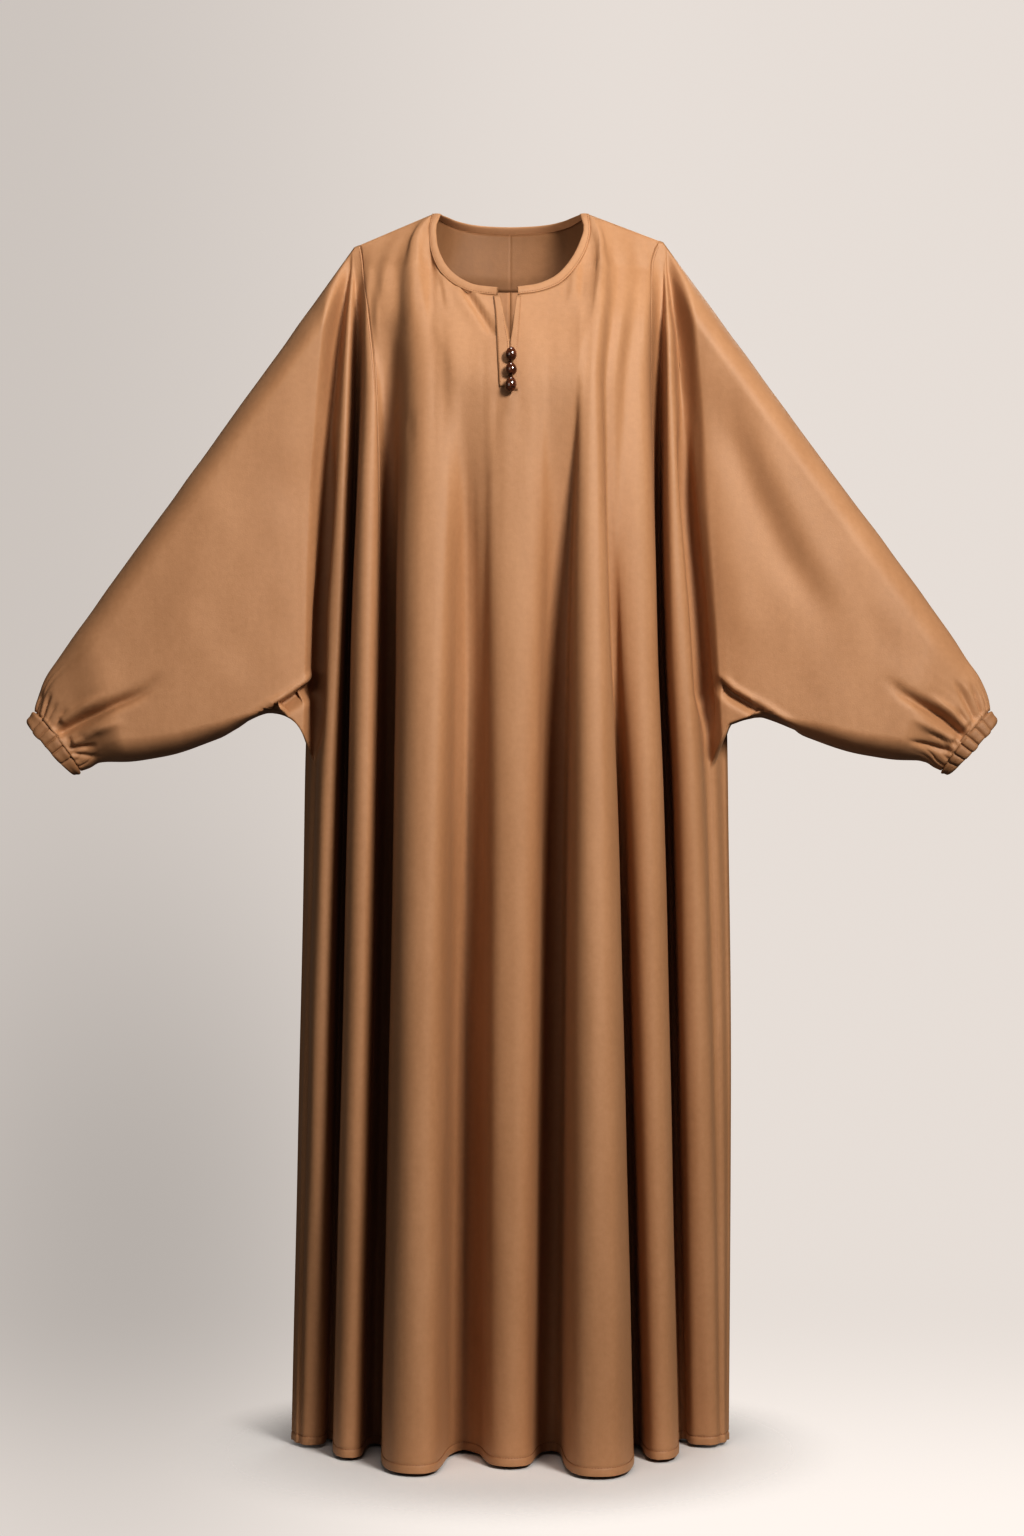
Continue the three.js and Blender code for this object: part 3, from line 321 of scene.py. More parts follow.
def sleeve_point(side, is_front, root, w, s):
    """root (n, 3) and its shares w (n,), rings s (m,): points (m, n, 3)."""
    s = np.asarray(s, float)[:, None]
    w = np.asarray(w, float)[None]
    Tx, Tv = along(SLEEVE[side]["top"], s)
    Bx, Bv = along(SLEEVE[side]["low"], s)
    T0x, T0v = along(SLEEVE[side]["top"], 0.0)
    B0x, B0v = along(SLEEVE[side]["low"], 0.0)
    arm, foot = curve(FILL_S, FILL["arm"], s), curve(FILL_S, FILL["foot"], s)
    sheet = curve(FILL_S, FILL["front" if is_front else "back"], s)
    length = np.hypot(Tx - Bx, Tv - Bv) * U
    d = w * length
    e = length - d
    cap = np.sqrt(np.clip(1 - np.clip(1 - d / arm, 0, 1) ** 2, 0, 1))
    heel = np.sqrt(np.clip(1 - np.clip(1 - e / foot, 0, 1) ** 2, 0, 1))
    depth = mix(arm, sheet, smooth((d - arm * 0.5) / (length * 0.45))) * cap * heel
    sign = -1 if is_front else 1
    mid = mix(4, 2, s)
    y = mid + sign * depth
    cuffward = smooth((s - 0.8) / 0.2)
    y = mix(y, 2 + sign * np.sin(np.pi * w) * CUFF_DEPTH, cuffward)
    wr = mix(w, (1 - np.cos(np.pi * w)) / 2, cuffward)
    x0, v0 = drawn(root[None])
    keep = (1 - np.clip(s / 0.55, 0, 1)) ** 2
    x = mix(Tx, Bx, wr) + (x0 - mix(T0x, B0x, wr)) * keep
    v = mix(Tv, Bv, wr) + (v0 - mix(T0v, B0v, wr)) * keep
    yy = mix(root[None, :, 1], y, smooth(s / RISE[is_front]))
    cx, cv = cuff_out(side)
    out = (CUFF_BULGE if is_front else 0.0) * np.sin(np.pi * w) * cuffward
    p = seen(x - out * cx, v - out * cv, mix(yy, mid * np.ones_like(yy), cuffward))
    p[..., 1] = yy
    return p


def shares(p):
    c = np.concatenate([[0], np.cumsum(np.linalg.norm(np.diff(p, axis=0), axis=1))])
    return c / c[-1]


# ---------------------------------------------------------------- sheets as meshes
class Sheet:
    """Points and quads gathered from grids, with shared points merged. info keeps values per point."""

    def __init__(self):
        self.p, self.q, self.n, self.info = [], [], 0, []

    def grid(self, P, flip=False, **info):
        r, c = P.shape[:2]
        i = np.arange(r * c).reshape(r, c) + self.n
        q = np.stack([i[:-1, :-1], i[:-1, 1:], i[1:, 1:], i[1:, :-1]], -1).reshape(-1, 4)
        self.q.append(q[:, ::-1] if flip else q)
        self.p.append(P.reshape(-1, 3))
        full = {k: np.broadcast_to(a, (r, c)).reshape(-1).astype(float) for k, a in info.items()}
        self.info.append((r * c, full))
        self.n += r * c
        return i

    def done(self):
        P, Q = np.concatenate(self.p), np.concatenate(self.q)
        keys = sorted({k for _, f in self.info for k in f})
        I = {k: np.concatenate([f.get(k, np.zeros(n)) for n, f in self.info]) for k in keys}
        _, first, inv = np.unique(np.round(P * 100).astype(np.int64), axis=0, return_index=True, return_inverse=True)
        inv = inv.reshape(-1)
        Q = inv[Q]
        self.where = inv
        self.P, self.I = P[first].copy(), {k: a[first] for k, a in I.items()}
        ok = (Q[:, 0] != Q[:, 1]) & (Q[:, 1] != Q[:, 2]) & (Q[:, 2] != Q[:, 3]) & (Q[:, 3] != Q[:, 0]) & (Q[:, 0] != Q[:, 2]) & (Q[:, 1] != Q[:, 3])
        bad = Q[~ok]
        self.T = [tuple(dict.fromkeys(b.tolist())) for b in bad]
        self.T = [t for t in self.T if len(t) == 3]
        self.Q = Q[ok]
        return self

    def normals(self):
        N = np.zeros_like(self.P)
        a, b, c, d = (self.P[self.Q[:, k]] for k in range(4))
        n = np.cross(c - a, d - b)
        n /= np.maximum(np.linalg.norm(n, axis=1, keepdims=True), 1e-9)
        for k in range(4):
            np.add.at(N, self.Q[:, k], n)
        return N / np.maximum(np.linalg.norm(N, axis=1, keepdims=True), 1e-9)

    def rim(self):
        """Indices of the points on open edges."""
        e = np.concatenate([self.Q[:, [0, 1]], self.Q[:, [1, 2]], self.Q[:, [2, 3]], self.Q[:, [3, 0]]] + ([np.array([[t[k], t[(k + 1) % 3]] for t in self.T for k in range(3)])] if self.T else []))
        e = np.sort(e, 1)
        u, c = np.unique(e, axis=0, return_counts=True)
        return np.unique(u[c == 1])


def mesh_object(name, P, faces, material, smooth_shading=True):
    me = bpy.data.meshes.new(name)
    me.from_pydata((np.asarray(P) / 1000).tolist(), [], [tuple(int(i) for i in f) for f in faces])
    me.update()
    if smooth_shading:
        me.polygons.foreach_set("use_smooth", np.ones(len(me.polygons), bool))
    ob = bpy.data.objects.new(name, me)
    bpy.context.scene.collection.objects.link(ob)
    if material:
        me.materials.append(material)
    return ob


def apply_modifiers(ob):
    dg = bpy.context.evaluated_depsgraph_get()
    dg.update()
    me = bpy.data.meshes.new_from_object(ob.evaluated_get(dg))
    old = ob.data
    ob.modifiers.clear()
    ob.data = me
    me.name = ob.name
    bpy.data.meshes.remove(old)


def solidify(ob, thickness, apply=True):
    m = ob.modifiers.new("thick", "SOLIDIFY")
    m.thickness = thickness / 1000
    m.offset = 0
    m.use_even_offset = False
    m.use_rim = True
    if apply:
        apply_modifiers(ob)


# ---------------------------------------------------------------- strokes: soft troughs and ridges placed one by one
def stroke(X, V, pts, width, depth, ends=(0.25, 0.25), sharp=2.0):
    """Height (mm, + outwards) of a soft ridge or trough along a drawn polyline, for points at (X, V)."""
    pts = np.array(pts, float)
    seg = np.diff(pts, axis=0)
    L = np.linalg.norm(seg, axis=1)
    cum = np.concatenate([[0], np.cumsum(L)])
    best, pos = np.full(X.shape, 1e9), np.zeros(X.shape)
    for k in range(len(seg)):
        t = np.clip(((X - pts[k, 0]) * seg[k, 0] + (V - pts[k, 1]) * seg[k, 1]) / max(L[k] ** 2, 1e-9), 0, 1)
        d = np.hypot(X - pts[k, 0] - t * seg[k, 0], V - pts[k, 1] - t * seg[k, 1])
        m = d < best
        best = np.where(m, d, best)
        pos = np.where(m, (cum[k] + t * L[k]) / cum[-1], pos)
    fade = np.ones(X.shape)
    if ends[0] > 0:
        fade = fade * smooth(pos / ends[0])
    if ends[1] > 0:
        fade = fade * smooth((1 - pos) / ends[1])
    return depth * fade * np.exp(-((best / width) ** sharp))


def shelf(X, V, pts, side, depth, edge, reach, ends=(0.2, 0.2)):
    """A crisp fold edge: the cloth on one side of a drawn polyline drops back by depth and comes up again over reach."""
    pts = np.array(pts, float)
    seg = np.diff(pts, axis=0)
    L = np.linalg.norm(seg, axis=1)
    cum = np.concatenate([[0], np.cumsum(L)])
    best, pos, sign = np.full(X.shape, 1e9), np.zeros(X.shape), np.zeros(X.shape)
    for k in range(len(seg)):
        t = np.clip(((X - pts[k, 0]) * seg[k, 0] + (V - pts[k, 1]) * seg[k, 1]) / L[k] ** 2, 0, 1)
        d = np.hypot(X - pts[k, 0] - t * seg[k, 0], V - pts[k, 1] - t * seg[k, 1])
        m = d < best
        best = np.where(m, d, best)
        pos = np.where(m, (cum[k] + t * L[k]) / cum[-1], pos)
        sign = np.where(m, np.sign(seg[k, 0] * (V - pts[k, 1]) - seg[k, 1] * (X - pts[k, 0])), sign)
    d = best * sign * side
    fade = smooth(pos / ends[0]) * smooth((1 - pos) / ends[1])
    inside = (pos > 0) & (pos < 1)
    lip = 0.22 * depth * np.exp(-(((d + 2.5) / 3.0) ** 2))  # the fold's own rounded edge stands up a little
    return np.where(inside, fade * (lip - depth * smooth(d / edge) * (1 - smooth((d - edge) / reach))), 0)


def hash_noise(seed):
    rng = np.random.RandomState(seed)
    a, f1, f2, ph = rng.uniform(0.5, 1, 7), rng.uniform(0.6, 1.6, 7), rng.uniform(0.6, 1.6, 7), rng.uniform(0, 6.28, 7)

    def f(x, y):
        s = 0
        for k in range(7):
            s = s + a[k] * np.sin(f1[k] * x * (1 + 0.35 * k) + f2[k] * y * (1 + 0.2 * k) * (1 if k % 2 else -1) + ph[k])
        return s / a.sum()

    return f


# ---------------------------------------------------------------- materials
def nodes_of(name):
    m = bpy.data.materials.new(name)
    m.use_nodes = True
    nt = m.node_tree
    nt.nodes.clear()
    out = nt.nodes.new("ShaderNodeOutputMaterial")
    bsdf = nt.nodes.new("ShaderNodeBsdfPrincipled")
    nt.links.new(bsdf.outputs[0], out.inputs[0])
    return m, nt, bsdf


def cloth_material(name, dark, mid, light, rough=0.5, sheen=0.09, weave=1.0, mottle=1.0):
    m, nt, bsdf = nodes_of(name)
    N, Lk = nt.nodes, nt.links
    tc = N.new("ShaderNodeTexCoord")
    mp = N.new("ShaderNodeMapping")
    mp.inputs["Scale"].default_value = (1, 1, 0.22)  # streaks run down the cloth
    Lk.new(tc.outputs["Object"], mp.inputs["Vector"])
    big = N.new("ShaderNodeTexNoise")
    big.inputs["Scale"].default_value = 16
    big.inputs["Detail"].default_value = 5
    big.inputs["Roughness"].default_value = 0.62
    Lk.new(mp.outputs[0], big.inputs["Vector"])
    fine = N.new("ShaderNodeTexNoise")
    fine.inputs["Scale"].default_value = 150
    fine.inputs["Detail"].default_value = 3
    fine.inputs["Roughness"].default_value = 0.6
    Lk.new(tc.outputs["Object"], fine.inputs["Vector"])
    add = N.new("ShaderNodeMix")
    add.data_type = "FLOAT"
    add.inputs["Factor"].default_value = 0.32
    Lk.new(big.outputs["Fac"], add.inputs["A"])
    Lk.new(fine.outputs["Fac"], add.inputs["B"])
    ramp = N.new("ShaderNodeValToRGB")
    e = ramp.color_ramp.elements
    e[0].position, e[0].color = 0.5 - 0.2 / mottle, (*dark, 1)
    e[1].position, e[1].color = 0.5 + 0.2 / mottle, (*light, 1)
    k = ramp.color_ramp.elements.new(0.5)
    k.color = (*mid, 1)
    Lk.new(add.outputs[0], ramp.inputs["Fac"])
    Lk.new(ramp.outputs["Color"], bsdf.inputs["Base Color"])
    # crepe weave: crossed fine threads, broken up by a pebbly grain
    wa = N.new("ShaderNodeTexWave")
    wa.bands_direction = "X"
    wa.inputs["Scale"].default_value = 320
    wa.inputs["Distortion"].default_value = 3.5
    wa.inputs["Detail"].default_value = 2
    wb = N.new("ShaderNodeTexWave")
    wb.bands_direction = "Z"
    wb.inputs["Scale"].default_value = 300
    wb.inputs["Distortion"].default_value = 3.5
    wb.inputs["Detail"].default_value = 2
    Lk.new(tc.outputs["Object"], wa.inputs["Vector"])
    Lk.new(tc.outputs["Object"], wb.inputs["Vector"])
    peb = N.new("ShaderNodeTexNoise")
    peb.inputs["Scale"].default_value = 620
    peb.inputs["Detail"].default_value = 2
    Lk.new(tc.outputs["Object"], peb.inputs["Vector"])
    s1 = N.new("ShaderNodeMath")
    s1.operation = "ADD"
    Lk.new(wa.outputs["Fac"], s1.inputs[0])
    Lk.new(wb.outputs["Fac"], s1.inputs[1])
    s2 = N.new("ShaderNodeMath")
    s2.operation = "MULTIPLY_ADD"
    Lk.new(peb.outputs["Fac"], s2.inputs[0])
    s2.inputs[1].default_value = 2.2
    Lk.new(s1.outputs[0], s2.inputs[2])
    bump = N.new("ShaderNodeBump")
    bump.inputs["Strength"].default_value = 0.32 * weave
    bump.inputs["Distance"].default_value = 0.0002
    Lk.new(s2.outputs[0], bump.inputs["Height"])
    soft = N.new("ShaderNodeBump")  # the faint unevenness of soft cloth
    soft.inputs["Strength"].default_value = 0.25
    soft.inputs["Distance"].default_value = 0.0012
    Lk.new(add.outputs[0], soft.inputs["Height"])
    Lk.new(bump.outputs[0], soft.inputs["Normal"])
    Lk.new(soft.outputs[0], bsdf.inputs["Normal"])
    rr = N.new("ShaderNodeMapRange")
    rr.inputs["From Min"].default_value = 0.3
    rr.inputs["From Max"].default_value = 0.7
    rr.inputs["To Min"].default_value = rough - 0.05
    rr.inputs["To Max"].default_value = rough + 0.07
    Lk.new(add.outputs[0], rr.inputs["Value"])
    Lk.new(rr.outputs[0], bsdf.inputs["Roughness"])
    bsdf.inputs["Specular IOR Level"].default_value = 0.36
    bsdf.inputs["Sheen Weight"].default_value = sheen * 1.5
    bsdf.inputs["Sheen Roughness"].default_value = 0.35
    bsdf.inputs["Sheen Tint"].default_value = (0.95, 0.66, 0.42, 1)
    return m


CLOTH_MID = (0.415, 0.228, 0.122)
CREPE = cloth_material("satin_crepe", (0.375, 0.202, 0.105), CLOTH_MID, (0.455, 0.256, 0.142))
TAPE = cloth_material("crepe_tape", (0.375, 0.202, 0.105), (0.415, 0.228, 0.122), (0.455, 0.256, 0.142), rough=0.52)
# painted shade: the cuffs' crepe is given a darker colour than the body's, standing for the shade among their gathers
RUCHED_SHADED = cloth_material("crepe_ruched_shaded", (0.27, 0.142, 0.071), (0.305, 0.163, 0.083), (0.34, 0.185, 0.097), rough=0.54, sheen=0.06)


def thread_material():
    m, nt, bsdf = nodes_of("thread")
    tc = nt.nodes.new("ShaderNodeTexCoord")
    n = nt.nodes.new("ShaderNodeTexNoise")
    n.inputs["Scale"].default_value = 900
    nt.links.new(tc.outputs["Object"], n.inputs["Vector"])
    r = nt.nodes.new("ShaderNodeValToRGB")
    r.color_ramp.elements[0].color = (0.23, 0.105, 0.048, 1)
    r.color_ramp.elements[1].color = (0.34, 0.165, 0.08, 1)
    nt.links.new(n.outputs["Fac"], r.inputs["Fac"])
    nt.links.new(r.outputs["Color"], bsdf.inputs["Base Color"])
    bsdf.inputs["Roughness"].default_value = 0.6
    return m


def bead_material():
    m, nt, bsdf = nodes_of("bead")
    tc = nt.nodes.new("ShaderNodeTexCoord")
    mp = nt.nodes.new("ShaderNodeMapping")
    mp.inputs["Scale"].default_value = (1, 1, 3.2)
    nt.links.new(tc.outputs["Object"], mp.inputs["Vector"])
    n = nt.nodes.new("ShaderNodeTexNoise")
    n.inputs["Scale"].default_value = 190
    n.inputs["Detail"].default_value = 4
    n.inputs["Distortion"].default_value = 1.2
    nt.links.new(mp.outputs[0], n.inputs["Vector"])
    r = nt.nodes.new("ShaderNodeValToRGB")
    r.color_ramp.elements[0].position, r.color_ramp.elements[0].color = 0.36, (0.022, 0.008, 0.004, 1)
    r.color_ramp.elements[1].position, r.color_ramp.elements[1].color = 0.68, (0.15, 0.048, 0.02, 1)
    nt.links.new(n.outputs["Fac"], r.inputs["Fac"])
    nt.links.new(r.outputs["Color"], bsdf.inputs["Base Color"])
    bsdf.inputs["Roughness"].default_value = 0.16
    bsdf.inputs["Coat Weight"].default_value = 1.0
    bsdf.inputs["Coat Roughness"].default_value = 0.035
    return m


# painted shade: the facing's crepe is given about half the cloth's colour, standing for the shade inside the back neck
FACING_SHADED = cloth_material("crepe_facing_painted_shade", (0.215, 0.112, 0.055), (0.240, 0.127, 0.063), (0.265, 0.142, 0.073), rough=0.6, sheen=0.0)
THREAD, BEAD = thread_material(), bead_material()

SHELVES = {
    # crisp fold edges under the arms: line, side, depth, edge, reach, ends
    "L": [([(322, 668), (306, 683), (289, 695), (262, 711), (238, 724)], -1, 15.0, 2.2, 17.0, (0.25, 0.4))],
    "R": [([(716, 674), (733, 690), (750, 700), (780, 718), (806, 732)], 1, 13.0, 2.2, 14.0, (0.2, 0.35))],
}

# ---------------------------------------------------------------- how finely
N_FRONT = [7, 10, 12, 11, 11, 14, 14, 12, 12, 14, 14, 12, 12, 12, 10, 7]
N_BACK = [6, 8, 10, 11, 11, 14, 12, 12, 12, 12, 13, 12, 10, 10, 8, 6]
assert N_FRONT[3:6] == N_BACK[3:6] or True


def columns(a, b, n):
    us = [float(a)]
    for k in range(a, b):
        for i in range(1, n[k] + 1):
            f = i / n[k]
            if 0 < k < LAST - 1:
                f = f**1.2 if k % 2 == 0 else 1 - (1 - f) ** 1.2
            us.append(k + f)
    return np.array(us)


# the shoulder seam's columns agree between front and back, and the sleeve's too
for k in list(range(0, 6)) + list(range(10, 16)):
    N_BACK[k] = N_FRONT[k]
R_UP = np.unique(np.concatenate([np.linspace(0, 0.02, 5), np.linspace(0.02, SLIT_R, 13), np.linspace(SLIT_R, 0.3, 20), np.linspace(0.3, 0.76, 26), np.linspace(0.76, 0.99, 36), [0.995, 1.0]]))
R_LOW = np.unique(np.concatenate([[0, 0.004, 0.01], np.linspace(0.018, 0.96, 84), 1 - np.array([26, 21, 17, 14, 12.2, 11, 10, 9.2, 8.4, 7.4, 6, 4.4, 2.8, 1.4, 0.5, 0]) / 742.0]))
S_RING = np.unique(np.concatenate([[0, 0.003, 0.006, 0.01], np.linspace(0.014, 0.2, 40), np.linspace(0.2, 0.74, 28), np.linspace(0.745, 1.0, 48)]))

streak, streak2, slow = hash_noise(3), hash_noise(11), hash_noise(29)


def body_detail(P, is_front):
    """Outward height of the small folds and creases of the body's cloth, from drawing places."""
    X, V = drawn(P)
    h = np.zeros(len(P))
    grow = smooth((V - 250) / 200)
    h += 0.7 * streak(X / 5.2, V / 150.0) * grow + 0.8 * streak2(X / 11.0, V / 260.0) * grow
    if is_front:
        for pts, w, d, ends in FRONT_STROKES:
            h += stroke(X, V, pts, w, d, ends)
    else:
        for pts, w, d, ends in BACK_STROKES:
            h += stroke(X, V, pts, w, d, ends)
    return h


FRONT_STROKES = [
    # pulled from the slit up to the binding
    ([(462, 286), (474, 303), (486, 322), (496, 339)], 3.6, -4.6, (0.12, 0.2)),
    ([(470, 287), (481, 303), (491, 318)], 3.6, 2.2, (0.2, 0.3)),
    ([(452, 284), (466, 305), (480, 330)], 5.0, 1.8, (0.2, 0.4)),
    # gathers under the binding, left
    ([(437, 266), (441, 290), (444, 318)], 2.6, -1.8, (0.15, 0.5)),
    ([(442, 274), (446, 292), (449, 312)], 2.4, 1.2, (0.15, 0.5)),
    ([(453, 284), (458, 292), (462, 303)], 1.8, -1.2, (0.1, 0.5)),
    ([(431, 250), (431, 300), (430, 352)], 4.5, -2.2, (0.2, 0.5)),
    # gathers under the binding, right
    ([(582, 258), (582, 280), (580, 312)], 3.0, -1.9, (0.15, 0.5)),
    ([(574, 270), (573, 286), (570, 308)], 2.4, 1.2, (0.15, 0.5)),
    ([(567, 278), (565, 292), (561, 312)], 2.2, -1.2, (0.1, 0.5)),
    ([(553, 288), (551, 304), (548, 322)], 2.2, -0.8, (0.1, 0.5)),
    # soft hollows down from the shoulders
    ([(377, 262), (379, 300), (382, 350)], 4.5, -1.6, (0.3, 0.5)),
    ([(397, 255), (398, 300), (400, 350)], 5.5, -2.2, (0.3, 0.5)),
    ([(412, 245), (413, 290), (414, 340)], 5.0, 1.4, (0.3, 0.5)),
    ([(621, 250), (618, 300), (612, 352)], 6.0, -1.8, (0.3, 0.5)),
    ([(604, 246), (602, 290), (600, 340)], 6.0, 1.6, (0.3, 0.5)),
    # the valleys of the skirt draw in further between the broad folds
    ([(467, 430), (468, 540), (470, 700), (469, 900), (467, 1150)], 6.0, -9.0, (0.16, 0.5)),
    ([(468, 900), (466, 1150), (464, 1450)], 6.5, -8.0, (0.3, 0.0)),
    ([(664, 300), (676, 345), (684, 400)], 7.0, 2.2, (0.4, 0.4)),
    # beside the left edge of the broad fold, and under the last bead
    ([(407, 404), (411, 426), (412, 457)], 2.6, -2.0, (0.3, 0.4)),
    ([(510, 392), (510, 402), (510.5, 414)], 2.0, 1.6, (0.2, 0.5)),
    ([(498, 388), (495, 420), (492, 470)], 4.0, -1.2, (0.15, 0.6)),
    ([(520, 392), (524, 430), (528, 480)], 4.0, -1.0, (0.15, 0.6)),
]
BACK_STROKES = [
    ([(436, 226), (430, 270), (424, 330)], 4.5, -2.2, (0.2, 0.5)),
    ([(456, 232), (452, 262), (449, 300)], 4.0, 1.5, (0.2, 0.5)),
    ([(486, 236), (484, 262), (480, 300)], 5.0, -1.4, (0.2, 0.5)),
    ([(536, 236), (538, 266), (541, 310)], 5.0, -1.5, (0.2, 0.5)),
    ([(562, 232), (567, 262), (572, 306)], 4.0, 1.6, (0.2, 0.5)),
    ([(584, 226), (590, 268), (598, 322)], 5.0, -2.3, (0.2, 0.5)),
    ([(400, 250), (399, 300), (401, 352)], 5.5, -2.0, (0.3, 0.5)),
    ([(621, 246), (622, 300), (619, 356)], 6.0, -2.0, (0.3, 0.5)),
]
SLEEVE_STROKES = {
    # long soft hollows and swells on the front sheets, then the gathers at the cuffs
    ("L", True): [
        ([(333, 420), (326, 520), (320, 610), (318, 690), (316, 765)], 4.4, -15.0, (0.35, 0.2), 2),
        ([(326, 420), (290, 520), (250, 610), (220, 690)], 26, -3.0, (0.35, 0.35), 2),
        ([(300, 470), (262, 560), (226, 660)], 22, 3.0, (0.35, 0.35), 2),
        ([(250, 470), (190, 570), (140, 660)], 26, 2.5, (0.3, 0.3), 2),
        ([(190, 560), (140, 640), (100, 700)], 18, -2.4, (0.35, 0.25), 2),
        ([(62, 732), (84, 720), (112, 706), (141, 694), (168, 669)], 5.4, -6.6, (0.0, 0.6), 2),
        ([(60, 722), (82, 708), (110, 692)], 4.2, 2.4, (0.05, 0.5), 2),
        ([(71, 742), (96, 730), (128, 720)], 5.0, 2.6, (0.05, 0.5), 2),
        ([(42, 716), (46, 704), (51, 691)], 2.4, -2.2, (0.0, 0.5), 2),
        ([(47, 720), (52, 710), (58, 701)], 2.2, -1.8, (0.0, 0.5), 2),
        ([(54, 727), (60, 717), (69, 706)], 2.4, -2.2, (0.0, 0.5), 2),
        ([(71, 748), (84, 747), (99, 745)], 2.6, -2.4, (0.0, 0.5), 2),
        ([(67, 740), (78, 736), (90, 733)], 2.2, -1.6, (0.0, 0.5), 2),
        ([(75, 754), (88, 756), (104, 757)], 2.2, -1.6, (0.0, 0.5), 2),
        ([(38, 712), (40, 700), (42, 686)], 2.0, -1.4, (0.0, 0.5), 2),
        ([(289, 696), (275, 704), (260, 711)], 5.0, 1.8, (0.3, 0.4), 2),
    ],
    ("R", True): [
        ([(680, 400), (689, 500), (698, 600), (704, 690), (711, 742)], 5.5, -19.0, (0.35, 0.15), 2),
        ([(717, 365), (735, 440), (759, 500), (785, 552), (852, 642)], 20, -7.0, (0.3, 0.35), 2),
        ([(745, 400), (775, 480), (812, 560), (868, 640)], 20, 4.0, (0.3, 0.35), 2),
        ([(700, 420), (716, 520), (742, 610), (790, 680)], 20, 3.0, (0.35, 0.35), 2),
        ([(840, 520), (880, 600), (920, 660)], 18, 2.2, (0.3, 0.3), 2),
        ([(962, 734), (946, 720), (928, 708), (905, 695), (882, 676)], 5.2, -6.2, (0.0, 0.6), 2),
        ([(968, 727), (950, 711), (926, 694)], 4.2, 2.4, (0.05, 0.5), 2),
        ([(955, 741), (936, 730), (908, 716)], 4.6, 2.6, (0.05, 0.5), 2),
        ([(947, 751), (930, 746), (906, 740)], 3.0, -2.6, (0.0, 0.5), 2),
        ([(976, 718), (966, 699), (954, 678)], 3.2, -3.0, (0.0, 0.5), 2),
        ([(970, 726), (962, 717), (953, 707)], 2.4, -2.0, (0.0, 0.5), 2),
        ([(983, 713), (977, 696), (970, 680)], 2.4, -2.0, (0.0, 0.5), 2),
        ([(953, 743), (940, 737), (926, 732)], 2.2, -1.6, (0.0, 0.5), 2),
        ([(744, 706), (756, 709), (769, 714)], 5.0, 1.8, (0.3, 0.4), 2),
    ],
    ("L", False): [
        ([(318, 420), (282, 530), (236, 640)], 24, -4.0, (0.35, 0.35), 2),
        ([(270, 440), (210, 560), (150, 660)], 24, 3.0, (0.35, 0.35), 2),
        ([(62, 730), (90, 712), (128, 698)], 4.0, -3.6, (0.0, 0.5), 2),
        ([(72, 748), (96, 742), (122, 738)], 3.4, -2.6, (0.0, 0.5), 2),
        ([(48, 718), (58, 702), (72, 688)], 3.0, -2.4, (0.0, 0.5), 2),
        ([(40, 712), (44, 698), (50, 684)], 2.4, -2.0, (0.0, 0.5), 2),
        ([(66, 739), (84, 729), (104, 722)], 2.4, -1.8, (0.0, 0.5), 2),
    ],
    ("R", False): [
        ([(712, 430), (742, 530), (790, 640)], 24, -4.4, (0.35, 0.35), 2),
        ([(760, 440), (820, 550), (876, 640)], 24, 3.0, (0.35, 0.35), 2),
        ([(962, 732), (936, 712), (900, 700)], 4.0, -3.6, (0.0, 0.5), 2),
        ([(952, 746), (928, 738), (898, 734)], 3.4, -2.6, (0.0, 0.5), 2),
        ([(976, 718), (962, 700), (948, 684)], 3.0, -2.4, (0.0, 0.5), 2),
        ([(984, 712), (978, 696), (972, 682)], 2.4, -2.0, (0.0, 0.5), 2),
        ([(958, 738), (940, 727), (918, 720)], 2.4, -1.8, (0.0, 0.5), 2),
    ],
}


def hem_profile(P):
    """Outward height at the turned-up hem: a second layer below the stitch line, pinched along it."""
    up = P[:, 2] - HEM_Z
    return np.where(up < 9.4, 0.45 * smooth(up / 1.2 + 0.35), 0) - 0.7 * np.exp(-(((up - 9.4) / 1.1) ** 2))


def seam_dip(sheet, N, amount=0.7, reach=None):
    """Moves open edges a little inwards, so that neighbours meet in a groove."""
    r = sheet.rim()
    h = np.zeros(len(sheet.P))
    h[r] = -amount
    return h


def build_sheet(name, sheet, heights, material, dip_mask=None):
    N = sheet.normals()
    sheet.N = N
    h = heights
    if dip_mask is not None:
        rim = np.zeros(len(sheet.P), bool)
        rim[sheet.rim()] = True
        h = h - np.where(rim & dip_mask(sheet.P), 0.55, 0)
    sheet.final = sheet.P + N * h[:, None]
    ob = mesh_object(name, sheet.final, sheet.Q.tolist() + [list(t) for t in sheet.T], material)
    solidify(ob, SHELL)
    return ob


not_hem = lambda P: P[:, 2] > HEM_Z + 1

# middle front panel
front = Sheet()
cL, cR, cAll = columns(PANEL, MID, N_FRONT), columns(MID, LAST - PANEL, N_FRONT), columns(PANEL, LAST - PANEL, N_FRONT)
gl = upper(True, cL, R_UP, -1)
gr = upper(True, cR, R_UP, 1)
gl[R_UP >= SLIT_R - 1e-9, -1] = upper(True, [8.0], R_UP[R_UP >= SLIT_R - 1e-9], 0)[:, 0]
gr[R_UP >= SLIT_R - 1e-9, 0] = gl[R_UP >= SLIT_R - 1e-9, -1]
g_low = lower(True, cAll, R_LOW)
gl[-1], gr[-1] = g_low[0, : len(cL)], g_low[0, len(cL) - 1 :]
front.grid(gl, True)
front.grid(gr, True)
front.grid(g_low, True)
front.done()
front_ob = build_sheet("front_panel", front, body_detail(front.P, True) + hem_profile(front.P), CREPE, not_hem)

